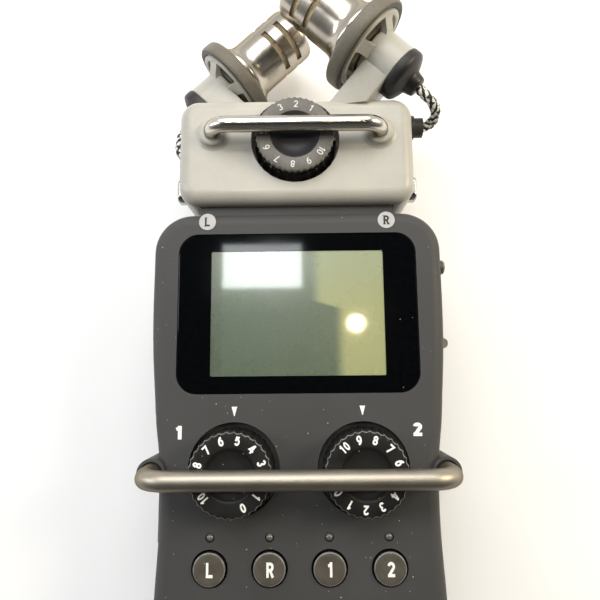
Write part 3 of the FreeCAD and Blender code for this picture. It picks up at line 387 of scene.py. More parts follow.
def lathe(name, prof, mats, body=None, seg=96, matrix=None, ids=None, lobes=None, angle=35.0, centre=(0, 0)):
    """Closed surface of revolution. prof: (r, z) from axis to axis, or a
    closed loop when its ends are off the axis.  lobes: (n, depth, amps)."""
    rings, mat_ids = [], []
    loop = prof[0][0] > 1e-6
    pr = prof + [prof[0]] if loop else prof
    for k, (r, z) in enumerate(pr):
        ring = []
        for i in range(seg):
            a = 2 * PI * i / seg
            rr = r
            if lobes:
                amp = lobes[2][k % len(prof)]
                if amp:
                    rr = r - lobes[1] * amp * abs(math.sin(lobes[0] * a / 2))
            ring.append((centre[0] + rr * math.cos(a), centre[1] + rr * math.sin(a), z))
        rings.append(ring)
    verts, faces = ring_surface(rings)
    ids_f = []
    for k in range(len(pr) - 1):
        ids_f += [ids[k] if ids else 0] * seg
    if not loop:
        # collapse the rings on the axis
        keep, out = [], []
        for f, m in zip(faces, ids_f):
            keep.append(f)
            out.append(m)
        faces, ids_f = keep, out
    me = bpy.data.meshes.new(name)
    me.from_pydata([tuple(c * MM for c in v) for v in verts], [], faces)
    for m in (mats if isinstance(mats, (list, tuple)) else [mats]):
        me.materials.append(m)
    for p, i in zip(me.polygons, ids_f):
        p.material_index = i
    bm = bmesh.new()
    bm.from_mesh(me)
    bmesh.ops.remove_doubles(bm, verts=bm.verts, dist=2e-8)
    bmesh.ops.dissolve_degenerate(bm, edges=bm.edges, dist=1e-8)
    bmesh.ops.recalc_face_normals(bm, faces=bm.faces)
    bm.to_mesh(me)
    bm.free()
    place(me, matrix)
    finish_mesh(me, angle)
    o = bpy.data.objects.new(name, me)
    bpy.context.collection.objects.link(o)
    if body:
        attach(o, body)
    return o


def at(x, y, z=0.0, rot=0.0):
    return Matrix.Translation(Vector((x, y, z)) * MM) @ Matrix.Rotation(rot, 4, "Z")


def ell(cx, cy, rx, ry, a0=90.0, a1=450.0, n=22):
    return [(cx + rx * math.cos(math.radians(a0 + (a1 - a0) * i / n)), cy + ry * math.sin(math.radians(a0 + (a1 - a0) * i / n))) for i in range(n + 1)]


def glyph(ch, w):
    """Strokes of one upright sans character, height 1, as (points, closed)."""
    t, r = 0.5 - w / 2, 0.31 - w / 2
    if ch == "0":
        return [(ell(0, 0, r, t)[:-1], True)]
    if ch == "1":
        return [([(0.05, -0.5), (0.05, 0.5)], False), ([(-0.19, 0.24), (-0.02, 0.31), (0.04, 0.44)], False)]
    if ch == "2":
        return [(ell(0, t - r, r, r, 170, -25, 14) + [(-r + 0.02, -t)], False), ([(-0.29, -t), (0.30, -t)], False)]
    if ch == "3":
        a, b = (t - 0.03) / 2, (t + 0.03) / 2
        return [(ell(-0.01, 0.03 + a, r * 0.92, a, 160, -90, 14), False), (ell(-0.01, 0.03 - b, r, b, 90, -160, 14), False)]
    if ch == "4":
        return [([(0.07, 0.46), (-r - 0.02, -0.19), (0.34, -0.19)], False), ([(0.12, 0.5), (0.12, -0.5)], False)]
    if ch == "5":
        b = 0.29
        return [([(r * 0.95, t), (-r * 0.72, t), (-r * 0.9, -0.02)], False), (ell(0, -t + b, r, b, 135, -155, 14), False)]
    if ch in "69":
        b = 0.27
        g = [(ell(0, -t + b, r, b)[:-1], True), ([(-r, -t + b), (-r * 0.92, 0.08), (-r * 0.55, 0.27), (r * 0.05, 0.40), (r * 0.75, t)], False)]
        return g if ch == "6" else [([(-x, -y) for x, y in p], c) for p, c in g]
    if ch == "7":
        return [([(-0.29, t), (0.26, t), (-0.07, -0.5)], False)]
    if ch == "8":
        a, b = (t - 0.02) / 2, (t + 0.02) / 2
        return [(ell(0, t - a, r * 0.88, a)[:-1], True), (ell(0, -t + b, r, b)[:-1], True)]
    if ch == "L":
        return [([(-0.19, 0.5), (-0.19, -t), (0.27, -t)], False)]
    if ch == "R":
        return [([(-0.20, -0.5), (-0.20, 0.5)], False), ([(-0.20, t)] + ell(0.02, t - 0.21, 0.19, 0.21, 90, -90, 10) + [(-0.20, t - 0.42)], False),
                ([(0.0, t - 0.40), (0.25, -0.5)], False)]
    raise ValueError(ch)


def ribbon(pts, w, closed):
    n = len(pts)
    out = []
    for i in range(n):
        p = Vector(pts[i])
        a = Vector(pts[i - 1]) if (i > 0 or closed) else None
        b = Vector(pts[(i + 1) % n]) if (i < n - 1 or closed) else None
        d0 = (p - a).normalized() if a is not None else None
        d1 = (b - p).normalized() if b is not None else None
        d0 = d0 or d1
        d1 = d1 or d0
        n0, n1 = Vector((-d0.y, d0.x)), Vector((-d1.y, d1.x))
        m = (n0 + n1).normalized()
        k = w / 2 / max(0.45, m.dot(n0))
        out.append((p + m * k, p - m * k))
    return out


def text(name, s, size, x, y, z, rot, body, mat, bold=0.2, sx=1.0, h=0.035):
    verts, faces = [], []
    step = 0.66
    for c, ch in enumerate(s):
        ox = (c - (len(s) - 1) / 2) * step * (0.86 if "1" in s and len(s) > 1 else 1.0)
        for layer, (pts, closed) in enumerate(glyph(ch, bold)):
            rb = ribbon(pts, bold, closed)
            b0, m = len(verts), len(rb)
            top = h + 0.003 * layer
            for l, r_ in rb:
                for q, zz in ((l, top), (r_, top), (l, 0.0), (r_, 0.0)):
                    verts.append(((q.x * sx + ox) * size, q.y * size, zz))
            for i in range(m if closed else m - 1):
                a, b = b0 + 4 * i, b0 + 4 * ((i + 1) % m)
                faces += [(a, a + 1, b + 1, b), (a + 2, b + 2, b + 3, a + 3), (a, b, b + 2, a + 2), (a + 1, a + 3, b + 3, b + 1)]
            if not closed:
                a, b = b0, b0 + 4 * (m - 1)
                faces += [(a, a + 2, a + 3, a + 1), (b, b + 1, b + 3, b + 2)]
    return obj_from(name, verts, faces, mat, body, matrix=at(x, y, z, rot), angle=30)


def prism(name, pts, z0, z1, mat, body, matrix=None, bevel=0.0):
    n = len(pts)
    verts = [(x, y, z0) for x, y in pts] + [(x, y, z1) for x, y in pts]
    faces = [tuple(range(n))[::-1], tuple(range(n, 2 * n))]
    faces += [(i, (i + 1) % n, n + (i + 1) % n, n + i) for i in range(n)]
    return obj_from(name, verts, faces, mat, body, matrix=matrix)


def rrect(hx, hy, r, k=8):
    pts = []
    for cx, cy, a0 in ((hx - r, hy - r, 0), (-hx + r, hy - r, 90), (-hx + r, -hy + r, 180), (hx - r, -hy + r, 270)):
        for i in range(k + 1):
            a = math.radians(a0 + 90.0 * i / k)
            pts.append((cx + r * math.cos(a), cy + r * math.sin(a)))
    return pts


def tube(name, pts, r, mat, body, seg=32, cap=True):
    """Smooth round bar along dense points."""
    P = [Vector(p) for p in pts]
    rings = []
    up = Vector((0, 1, 0))
    for i, p in enumerate(P):
        d = (P[min(i + 1, len(P) - 1)] - P[max(i - 1, 0)]).normalized()
        s = d.cross(up).normalized()
        u = s.cross(d)
        rings.append([tuple(p + (s * math.cos(2 * PI * k / seg) + u * math.sin(2 * PI * k / seg)) * r) for k in range(seg)])
    verts, faces = ring_surface(rings)
    n = len(verts)
    faces.append(tuple(range(seg)))
    faces.append(tuple(range(n - seg, n))[::-1])
    return obj_from(name, verts, faces, mat, body, angle=60)


# ------------------------------------------------------------- CAD materials
for node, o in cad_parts.items():
    pass


def paint(mat, *nodes):
    for n in nodes:
        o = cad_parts[n]
        me = o.data
        if len(me.materials) == 0:
            me.materials.append(mat)
        for i in range(len(o.material_slots)):
            o.material_slots[i].material = mat


paint(M["body"], "front_shell", "rear_shell", "battery_door", "card_door")
paint(M["paint"], "capsule_front_shell", "capsule_rear_shell", "mic_arm_left", "mic_arm_right")
paint(M["bar"], "lower_guard_bar")
paint(M["bar_bright"], "upper_guard_bar")
paint(M["chrome"], "release_button_left", "release_button_right")
paint(M["button"], "rewind_key", "stop_key", "play_key", "forward_key")
paint(M["rec"], "record_key")
paint(M["switch_metal"], "jog_lever", "power_switch")
paint(M["switch_plastic"], "volume_rocker")
paint(M["window"], "display_window")
paint(M["back"], "display_panel", "display_backlight")
paint(M["board"], "main_circuit_board", "key_circuit_board", "capsule_circuit_board")
paint(M["component"], "gain_potentiometers", "dial_potentiometer", "side_switches", "speaker", "battery_tray", "card_socket", "capsule_socket", "capsule_plug")
paint(M["jack"], "input_jacks", "mini_jacks")
paint(M["contact"], "battery_contacts", "usb_port", "shell_screws", "capsule_screws")
paint(M["cell"], "battery_cells")
paint(M["card"], "memory_card")
paint(M["brass"], "tripod_insert")
paint(M["lens"], "track_lamps")
paint(M["disc"], "channel_discs")
paint(M["element"], "mic_elements")
paint(M["gland"], "lead_glands")

# ------------------------------------------------------- display window, lcd
WX, WY0, WY1, WR = 25.8, 1.6, 36.0, 4.3
LX, LY0, LY1 = 18.7, 5.16, 32.16
outer = [(x, y + (WY0 + WY1) / 2) for x, y in rrect(WX, (WY1 - WY0) / 2, WR, 10)]
cyl_ = (LY0 + LY1) / 2
n = len(outer)
inner = [(x, y + cyl_) for x, y in rrect(LX, (LY1 - LY0) / 2, 0.35, 10)]
top = 30.98
verts, faces = ring_surface([
    [(x, y, top - 0.95) for x, y in inner],
    [(x, y, top - 0.28) for x, y in inner],
    [(x, y, top - 0.02) for x, y in inner],
    [(x * 1.0008, (y - cyl_) * 1.0008 + cyl_, top) for x, y in inner],
    [(x * 0.994, (y - 18.8) * 0.994 + 18.8, top) for x, y in outer],
    [(x * 0.998, (y - 18.8) * 0.998 + 18.8, top - 0.06) for x, y in outer],
    [(x, y, top - 0.2) for x, y in outer],
    [(x, y, 29.8) for x, y in outer],
    [(x, y, 29.8) for x, y in inner],
    [(x, y, top - 0.95) for x, y in inner]])
win = obj_from("window_surround", verts, faces, M["window"], "main_unit", angle=25)
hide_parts("display_window")
lcd = prism("lcd_face", [(x, y + cyl_) for x, y in rrect(LX - 0.02, (LY1 - LY0) / 2 - 0.02, 0.33, 6)], 29.85, top - 0.16, M["lcd"], "main_unit")


# ----------------------------------------------------------------- guard bars
def bar_points(x, y, z0, zt, bend):
    pts = [(-x, y, z0), (-x, y, zt - bend)]
    for i in range(1, 17):
        a = PI / 2 * i / 16
        pts.append((-x + bend * (1 - math.cos(a)), y, zt - bend + bend * math.sin(a)))
    for i in range(1, 12):
        pts.append((-x + bend + (2 * (x - bend)) * i / 12, y, zt))
    for i in range(0, 17):
        a = PI / 2 * i / 16
        pts.append((x - bend + bend * math.sin(a), y, zt - bend + bend * math.cos(a)))
    pts.append((x, y, z0))
    return pts


lb = tube("lower_bar", bar_points(30.4, -14.4, 22.0, 40.1, 5.0), 2.0, M["bar"], "main_unit", 48)
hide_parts("lower_guard_bar")
ub = tube("upper_bar", bar_points(18.84, 59.3, 24.0, 36.3, 3.8), 1.75, M["bar_bright"], "capsule", 48)
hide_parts("upper_guard_bar")


# ---------------------------------------------------------------- gain knobs
def gain_knob(side, sx, angle0, step, v0):
    name = "gain_knob_" + side
    R, zt = KNOB_R, KNOB_TOP
    prof = [(0, KNOB_Z0), (R - 0.3, KNOB_Z0), (R, KNOB_Z0 + 0.3), (R, zt - 1.4), (R - 0.02, zt - 0.5), (R - 0.12, zt - 0.16),
            (R - 0.26, zt - 0.02), (R - 0.42, zt), (6.9, zt), (5.35, zt), (5.1, zt - 0.03), (4.75, zt - 0.34), (4.3, zt - 0.62), (2.5, zt - 0.86), (0, zt - 0.92)]
    amps = [0, 0.6, 1, 1, 1, 1, 1, 0.9, 0, 0, 0, 0, 0, 0, 0]
    ids = [0, 0, 0, 0, 0, 2, 1, 1, 1, 1, 1, 1, 1, 1]
    o = lathe(name + "_body", prof, [M["knob"], M["knob_top"], M["knob_edge"]], name, seg=34 * 8,
              matrix=at(sx * KNOB_X, KNOB_Y), ids=ids, lobes=(34, 0.30, amps), angle=40)
    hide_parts(name)
    lathe(name + "_stub", [(0, 23.0), (1.5, 23.0), (1.5, 28.7), (0, 28.7)], M["component"], name, seg=32, matrix=at(sx * KNOB_X, KNOB_Y))
    for v in range(11):
        a = math.radians(angle0 + (v0 - v) * step)
        r = 6.62
        text("%s_num_%d" % (name, v), str(v), 1.80, sx * KNOB_X + r * math.sin(a), KNOB_Y + r * math.cos(a), zt,
             -a, name, M["white"], bold=0.205, sx=0.92 if v < 10 else 0.80)


gain_knob("left", -1, 13.0, 28.6, 5)
gain_knob("right", 1, -12.5, 28.0, 9)

# mic gain dial: scalloped top plate over a coarser lobed skirt
zt = 34.2
prof = [(0, 31.0), (8.3, 31.0), (8.72, 31.9), (8.8, 33.2), (8.8, 33.9), (8.68, 34.12), (8.5, 34.2), (7.0, 34.2), (5.5, 34.2), (5.25, 34.12), (4.7, 33.55), (3.0, 33.25), (0, 33.2)]
amps = [0, 1, 1, 1, 1, 1, 1, 0, 0, 0, 0, 0, 0]
ids = [0, 0, 0, 0, 3, 1, 1, 1, 2, 2, 2, 2]
dt = lathe("dial_top_plate", prof, [M["dial_skirt"], M["dial_top"], M["dial_dish"], M["knob_edge"]], "mic_gain_dial", seg=40 * 8,
           matrix=at(*DIAL), ids=ids, lobes=(40, 0.26, amps), angle=40)
prof = [(0, 24.0), (9.0, 24.0), (9.35, 24.5), (9.4, 27.0), (9.3, 29.6), (8.9, 30.6), (8.2, 31.05), (0, 31.05)]
ds = lathe("dial_skirt", prof, [M["dial_skirt"]], "mic_gain_dial", seg=25 * 10, matrix=at(*DIAL), lobes=(25, 0.62, [0, 1, 1, 1, 1, 1, 0.8, 0]), angle=50)
lathe("dial_stub", [(0, 19.2), (1.5, 19.2), (1.5, 24.05), (0, 24.05)], M["component"], "mic_gain_dial", seg=32, matrix=at(*DIAL))
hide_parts("mic_gain_dial")
for v in range(11):
    a = math.radians(2.4 - (v - 2) * 29.7)
    r = 7.0
    text("dial_num_%d" % v, str(v), 1.55, DIAL[0] + r * math.sin(a), DIAL[1] + r * math.cos(a), zt, -a, "mic_gain_dial", M["white_soft"], bold=0.135, sx=0.95)

# -------------------------------------------------------------- panel prints
for s in (-1, 1):
    x = s * 13.4
    prism("gain_marker_%s" % ("left" if s < 0 else "right"), [(x - 0.58, -1.1), (x + 0.58, -1.1), (x + 0.07, -3.0), (x - 0.07, -3.0)][::-1], PANEL, PANEL + 0.03, M["white"], "main_unit")
text("channel_1", "1", 2.75, -24.9, -6.3, PANEL, 0, "main_unit", M["white"], bold=0.255, sx=1.12)
text("channel_2", "2", 2.75, 24.75, -6.0, PANEL, 0, "main_unit", M["white"], bold=0.255, sx=1.12)

# menu button: a capped plunger that stands out of the right side
# painted highlight: the rounded end of the cap takes the pale chamfer material
mb = lathe("menu_button_cap", [(0, 0.2), (1.68, 0.2), (1.68, 5.2), (1.6, 5.55), (1.35, 5.85), (0.95, 6.0), (0, 6.03)], [M["button_edge"], M["button"]],
           "menu_button", seg=64, matrix=Matrix(((0, 0, 1, 28 * MM), (0, 1, 0, 29.7 * MM), (-1.1, 0, 0, 22.4 * MM), (0, 0, 0, 1))), ids=[1, 1, 1, 0, 0, 0], angle=35)
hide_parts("menu_button")

# light discs with the L and R letters
for s, ch in ((-1, "L"), (1, "R")):
    x, y = s * 19.7, 38.9
    o = lathe("disc_" + ch, [(0, 30.99), (1.875, 30.99), (1.875, 31.08), (1.82, 31.12), (0, 31.12)], [M["disc"]], "main_unit", seg=64, matrix=at(x, y))
    if s < 0:
        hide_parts("channel_discs")
    z = 31.12
    text("disc_letter_" + ch, ch, 2.0, x, y, z, 0, "main_unit", M["print_black"], bold=0.20, sx=1.0, h=0.03)
    ser = [(-0.40, 0.95), (-0.46, -0.95)] if ch == "L" else [(-0.46, 0.95), (-0.42, -0.95), (0.50, -0.95)]
    for i, (sx_, sy_) in enumerate(ser):
        prism("disc_serif_%s%d" % (ch, i), [(x + sx_ - 0.28, y + sy_ - 0.07), (x + sx_ + 0.34, y + sy_ - 0.07), (x + sx_ + 0.34, y + sy_ + 0.07), (x + sx_ - 0.28, y + sy_ + 0.07)], z, z + 0.03, M["print_black"], "main_unit")

# ------------------------------------------------------ buttons and transport
for nm, x, ch in (("left", BTN_X[0], "L"), ("right", BTN_X[1], "R"), ("one", BTN_X[2], "1"), ("two", BTN_X[3], "2")):
    node = "track_button_" + nm
    t_ = 31.7
    # painted shade: the cap's sides and skirt take the black knob material, for the shade in the gap round the cap; the
    # chamfer takes the painted highlight band
    prof = [(0, 27.75), (4.17, 27.75), (4.17, 28.6), (3.30, 28.65), (3.30, t_ - 0.34), (3.26, t_ - 0.18), (3.16, t_ - 0.06), (3.02, t_), (2.3, t_ - 0.02), (1.2, t_ - 0.05), (0, t_ - 0.06)]
    ids = [2, 2, 2, 2, 2, 1, 1, 0, 0, 0]
    o = lathe(node + "_cap", prof, [M["button"], M["button_edge"], M["knob"]], node, seg=96, matrix=at(x, BTN_Y), ids=ids, angle=28)
    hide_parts(node)
    text(node + "_letter", ch, 2.85, x + 0.12, BTN_Y - 0.05, t_ - 0.05, 0, node, M["white"], bold=0.20, sx=0.84, h=0.06)

zk = 32.0
def tri(name, x, y, s, d, body):
    prism(name, [(x - d * s * 0.5, y - s * 0.62), (x + d * s * 0.5, y), (x - d * s * 0.5, y + s * 0.62)][::(1 if d > 0 else -1)], zk, zk + 0.03, M["white"], body)
def blk(name, x, y, hx, hy, body):
    prism(name, [(x - hx, y - hy), (x + hx, y - hy), (x + hx, y + hy), (x - hx, y + hy)], zk, zk + 0.03, M["white"], body)
ky = -47.0
tri("rewind_mark_a", BTN_X[0] + 0.75, ky, 1.5, -1, "rewind_key"); tri("rewind_mark_b", BTN_X[0] - 0.75, ky, 1.5, -1, "rewind_key")
blk("stop_mark", BTN_X[1], ky, 0.85, 0.85, "stop_key")
tri("play_mark", BTN_X[2] - 0.6, ky, 1.9, 1, "play_key"); blk("pause_mark_a", BTN_X[2] + 0.85, ky, 0.2, 1.0, "play_key"); blk("pause_mark_b", BTN_X[2] + 1.55, ky, 0.2, 1.0, "play_key")
tri("forward_mark_a", BTN_X[3] - 0.75, ky, 1.5, 1, "forward_key"); tri("forward_mark_b", BTN_X[3] + 0.75, ky, 1.5, 1, "forward_key")


# ------------------------------------------------------------------- mics
def mic_matrix(side):
    sx = 1 if side == "right" else -1
    x, y, z = MIC[side]
    zax = Vector((-sx * MC, MS, 0))
    xax = Vector((sx * MS, MC, 0))
    yax = zax.cross(xax)
    m = Matrix(((xax.x, yax.x, zax.x, x * MM), (xax.y, yax.y, zax.y, y * MM), (xax.z, yax.z, zax.z, z * MM), (0, 0, 0, 1)))
    return m


def barrel_mesh(side):
    """Nickel tube with two rows of slots, cut from a grid of wall cells."""
    R, RI = 7.1, 6.62
    prof = [(6.55, -2.4), (6.55, 1.9), (7.9, 2.15), (8.25, 2.5), (8.32, 2.95), (8.2, 3.4), (7.85, 3.95), (7.40, 4.6), (7.18, 5.4), (R, 6.2),
            (R, 9.0), (R, 11.7), (R, 11.85), (R, 13.35), (R, 13.5), (R, 15.8), (R, 15.95), (R, 17.45), (R, 17.6), (R, 19.6), (7.02, 20.15), (6.88, 20.58), (6.75, 20.78), (6.72, 20.7), (6.70, 20.4)]
    inn = [(RI, 19.6), (RI, 17.6), (RI, 17.45), (RI, 15.95), (RI, 15.8), (RI, 13.5), (RI, 13.35), (RI, 11.85), (RI, 11.7), (RI, 2.4), (6.3, 2.0), (6.3, -2.4)]
    seg = 144
    nslot = 3
    gap = 0.17          # half width of a web, radians
    allp = prof + inn
    verts = []
    for r, z in allp:
        for i in range(seg):
            a = 2 * PI * i / seg
            verts.append((r * math.cos(a), r * math.sin(a), z))
    faces = []
    rows = {(11.85, 13.35), (15.95, 17.45)}
    K = len(allp)

    def is_slot(i):
        a = (2 * PI * (i + 0.5) / seg - PI + gap) % (2 * PI / nslot)
        return gap * 2 < a

    idx = {}
    for k in range(K):
        k2 = (k + 1) % K
        z0, z1 = allp[k][1], allp[k2][1]
        band = (round(min(z0, z1), 2), round(max(z0, z1), 2)) in rows
        for i in range(seg):
            if band and is_slot(i):
                continue
            j = (i + 1) % seg
            faces.append((k * seg + i, k * seg + j, k2 * seg + j, k2 * seg + i))
    # slot walls
    po = {z: k for k, (r, z) in enumerate(prof)}
    pi_ = {z: len(prof) + k for k, (r, z) in enumerate(inn)}
    for z0, z1 in rows:
        for i in range(seg):
            j = (i + 1) % seg
            if is_slot(i):
                for z in (z0, z1):
                    faces.append((po[z] * seg + i, po[z] * seg + j, pi_[z] * seg + j, pi_[z] * seg + i))
            if is_slot(i) != is_slot((i - 1) % seg):
                faces.append((po[z0] * seg + i, po[z1] * seg + i, pi_[z1] * seg + i, pi_[z0] * seg + i))
    return obj_from("barrel_" + side, verts, faces, M["nickel"], "capsule", matrix=mic_matrix(side), angle=30)


for side in ("right", "left"):
    mm = mic_matrix(side)
    b = barrel_mesh(side)
    sc = lathe("slot_screen_" + side, [(6.2, 10.9), (6.55, 10.9), (6.55, 18.5), (6.2, 18.5)], M["screen"], "capsule", seg=96, matrix=mm)
    gr = lathe("front_grille_" + side, [(0, 18.8), (6.55, 18.8), (6.55, 19.5), (5.4, 19.8), (3.5, 20.1), (0, 20.2)], M["screen"], "capsule", seg=96, matrix=mm)
    ty = lathe("tyre_" + side, [(9.98, -1.35), (10.1, -1.6), (10.4, -1.74), (11.1, -1.75), (11.45, -1.66), (11.68, -1.38), (11.78, -0.9), (11.8, -0.3), (11.8, 0.3), (11.78, 0.9),
                               (11.68, 1.38), (11.45, 1.66), (11.1, 1.75), (10.4, 1.74), (10.1, 1.6), (9.98, 1.35)], M["rubber"], "capsule", seg=160, matrix=mm, angle=50)
    cp = lathe("end_cap_" + side, [(0, -10.48), (5.95, -10.48), (6.15, -10.6), (6.2, -10.9), (6.2, -12.1), (6.02, -12.7), (5.5, -13.15), (4.3, -13.75), (3.2, -14.15), (2.85, -14.45),
                                  (2.72, -15.0), (2.45, -16.1), (2.3, -16.45), (2.05, -16.6), (0, -16.6)], M["rubber_cap"], "capsule", seg=96, matrix=mm, angle=40)
    if side == "right":
        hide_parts("mic_barrels"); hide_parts("mic_screens"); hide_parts("mic_tyres"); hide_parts("mic_end_caps")

ARM = {"right": [(0, 5.0), (-4.6, 3.86), (-22, -1.9), (-22, -13.0), (-9, -8.6), (0, -5.9)],
       "left": [(0, 5.9), (-0.8, 5.94), (-22, 8.8), (-22, -6.4), (-9, -6.6), (0, -5.9)]}


def arm(side):
    """Plate that runs from the hub into the block, ended inside the block."""
    u = 1.0 if side == "left" else -1.0
    pts = [(t, u * z) for t, z in ARM[side]]
    n = len(pts)
    verts = [(x * MM, y * MM, -10.5 * MM) for x, y in pts] + [(x * MM, y * MM, -3.6 * MM) for x, y in pts]
    faces = [tuple(range(n)), tuple(range(n, 2 * n))] + [(i, (i + 1) % n, n + (i + 1) % n, n + i) for i in range(n)]
    me = bpy.data.meshes.new("arm_plate_" + side)
    me.from_pydata(verts, [], faces)
    me.transform(mic_matrix(side))
    bm = bmesh.new()
    bm.from_mesh(me)
    bmesh.ops.recalc_face_normals(bm, faces=bm.faces)
    bmesh.ops.bevel(bm, geom=list(bm.edges), offset=0.55 * MM, segments=3, profile=0.5, affect="EDGES")
    g_ = list(bm.verts) + list(bm.edges) + list(bm.faces)
    bmesh.ops.bisect_plane(bm, geom=g_, plane_co=(0, 66.6 * MM, 0), plane_no=(0, -1, 0), clear_outer=True)
    bmesh.ops.holes_fill(bm, edges=[e for e in bm.edges if e.is_boundary], sides=0)
    bmesh.ops.recalc_face_normals(bm, faces=bm.faces)
    bm.to_mesh(me)
    bm.free()
    me.materials.append(M["paint"])
    finish_mesh(me, 30)
    o = bpy.data.objects.new("arm_plate_" + side, me)
    bpy.context.collection.objects.link(o)
    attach(o, "capsule")
    return o


for side in ("right", "left"):
    mm = mic_matrix(side)
    a_ = arm(side)
    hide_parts("mic_arm_" + side)
    lathe("arm_hub_" + side, [(0, -10.5), (5.8, -10.5), (6.0, -10.3), (6.0, -3.2), (5.85, -2.8), (5.5, -2.5), (0, -2.5)], [M["paint"]], "capsule", seg=96, matrix=mm, angle=35)
    lathe("arm_rim_" + side, [(8.5, -1.75), (8.65, -2.1), (8.95, -2.2), (9.45, -2.2), (9.75, -2.08), (9.93, -1.75), (9.95, 1.5), (8.5, 1.5)], [M["paint"]], "capsule", seg=128, matrix=mm, angle=35)
    for k, deg in enumerate((57, 123, 237, 303)):
        a = math.radians(deg) * (1.0 if side == "left" else -1.0)
        ca, sa = math.cos(a), math.sin(a)
        vs = []
        for r, s0, s1, hw in ((5.3, -4.5, -2.6, 1.75), (6.6, -3.9, -2.2, 1.45), (8.0, -2.7, -1.2, 1.45), (9.0, -2.15, -0.6, 1.8)):
            for y, z in ((-hw, s0), (hw, s0), (hw, s1), (-hw, s1)):
                vs.append((r * ca - y * sa, r * sa + y * ca, z))
        fs = [(0, 1, 2, 3), (12, 13, 14, 15)]
        for q in range(3):
            for i in range(4):
                fs.append((4 * q + i, 4 * q + (i + 1) % 4, 4 * q + 4 + (i + 1) % 4, 4 * q + 4 + i))
        obj_from("arm_spoke_%s_%d" % (side, k), vs, fs, M["paint"], "capsule", matrix=mm, angle=40)

# ------------------------------------------------------------- braided leads
LEADS = {
    "right": [(16.1 + 16.6 * MC, 81.75 - 16.6 * MS, 30.0), (30.2, 68.5, 29.9), (33.0, 66.9, 27.2), (33.2, 65.2, 22.3), (30.4, 64.3, 22.0)],
    "left": [(-16.1 - 16.6 * MC, 81.75 - 16.6 * MS, 12.4), (-29.6, 68.6, 12.4), (-30.7, 65.0, 12.8), (-30.2, 61.6, 13.0), (-28.1, 60.9, 13.0)]}


def spline_points(pts):
    cu = bpy.data.curves.new("route", "CURVE")
    cu.dimensions = "3D"
    sp = cu.splines.new("NURBS")
    sp.points.add(len(pts) - 1)
    for p, q in zip(sp.points, pts):
        p.co = (q[0] * MM, q[1] * MM, q[2] * MM, 1.0)
    sp.order_u = 3
    sp.use_endpoint_u = True
    sp.resolution_u = 12
    o = bpy.data.objects.new("route", cu)
    bpy.context.collection.objects.link(o)
    bpy.context.view_layer.update()
    me = bpy.data.meshes.new_from_object(o.evaluated_get(bpy.context.evaluated_depsgraph_get()))
    out = [v.co / MM for v in me.vertices]
    bpy.data.objects.remove(o)
    return out


def braid(side):
    P = spline_points(LEADS[side])
    L = [0.0]
    for a, b in zip(P, P[1:]):
        L.append(L[-1] + (b - a).length)
    N = 150

    def sample(s):
        for i in range(len(P) - 1):
            if s <= L[i + 1] or i == len(P) - 2:
                t = (s - L[i]) / max(1e-9, L[i + 1] - L[i])
                return P[i].lerp(P[i + 1], t)
    C = [sample(L[-1] * i / N) for i in range(N + 1)]
    d0 = (C[1] - C[0]).normalized()
    u = d0.cross(Vector((0, 0, 1))).normalized()
    frames = []
    for i in range(N + 1):
        d = (C[min(i + 1, N)] - C[max(i - 1, 0)]).normalized()
        u = (u - d * u.dot(d)).normalized()
        frames.append((C[i], u.copy(), d.cross(u)))
    verts, faces, ids = [], [], []

    def strand(idx, phi0, dirn, rad, w, t, turns_per_mm, weave, mid):
        base = len(verts)
        seg = 6
        for i in range(N + 1):
            c, a, b_ = frames[i]
            s = L[-1] * i / N
            phi = phi0 + dirn * 2 * PI * s * turns_per_mm
            rr = rad + weave * math.cos(PI * idx + 8 * PI * s * turns_per_mm + (0 if dirn > 0 else PI))
            e = a * math.cos(phi) + b_ * math.sin(phi)
            tang = -a * math.sin(phi) + b_ * math.cos(phi)
            ctr = c + e * rr
            for k in range(seg):
                q = 2 * PI * k / seg
                verts.append(tuple(ctr + tang * (w * math.cos(q)) + e * (t * math.sin(q))))
        for i in range(N):
            for k in range(seg):
                k2 = (k + 1) % seg
                faces.append((base + i * seg + k, base + i * seg + k2, base + (i + 1) * seg + k2, base + (i + 1) * seg + k))
                ids.append(mid)
        faces.append(tuple(base + k for k in range(seg))); ids.append(mid)
        faces.append(tuple(base + N * seg + k for k in range(seg))[::-1]); ids.append(mid)
    for k in range(4):
        strand(k, 2 * PI * k / 4, 1, 0.97, 0.50, 0.17, 1 / 8.5, 0.11, 0)
        strand(k, 2 * PI * (k + 0.5) / 4, -1, 0.97, 0.50, 0.17, 1 / 8.5, 0.11, 1)
    # dark core
    base = len(verts)
    seg = 20
    for i in range(N + 1):
        c, a, b_ = frames[i]
        for k in range(seg):
            q = 2 * PI * k / seg
            verts.append(tuple(c + (a * math.cos(q) + b_ * math.sin(q)) * 0.92))
    for i in range(N):
        for k in range(seg):
            k2 = (k + 1) % seg
            faces.append((base + i * seg + k, base + i * seg + k2, base + (i + 1) * seg + k2, base + (i + 1) * seg + k)); ids.append(1)
    faces.append(tuple(base + k for k in range(seg))); ids.append(1)
    faces.append(tuple(base + N * seg + k for k in range(seg))[::-1]); ids.append(1)
    return obj_from("braided_lead_" + side, verts, faces, [M["strand_white"], M["strand_black"]], "capsule", mat_ids=ids, angle=60)


bl = braid("right")
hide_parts("mic_leads")
braid("left")

# ------------------------------------------------------------------ stage
bpy.ops.mesh.primitive_plane_add(size=1.6, location=(0, 0, -0.00005))
floor = bpy.context.object
floor.name = "floor"
g = Graph("floor_white")
fn = g.noise(14, 3, 0.5)
g.set(Base_Color=g.mix(fn, (0.86, 0.862, 0.872), (0.89, 0.892, 0.902)), Roughness=0.6, Emission_Color=(1.0, 1.0, 1.0), Emission_Strength=0.09)
floor.data.materials.append(g.m)

w = bpy.data.worlds.new("World")
bpy.context.scene.world = w
w.use_nodes = True
wt = w.node_tree
bg = wt.nodes["Background"]
tc = wt.nodes.new("ShaderNodeTexCoord")
sp = wt.nodes.new("ShaderNodeSeparateXYZ")
wt.links.new(tc.outputs["Generated"], sp.inputs[0])


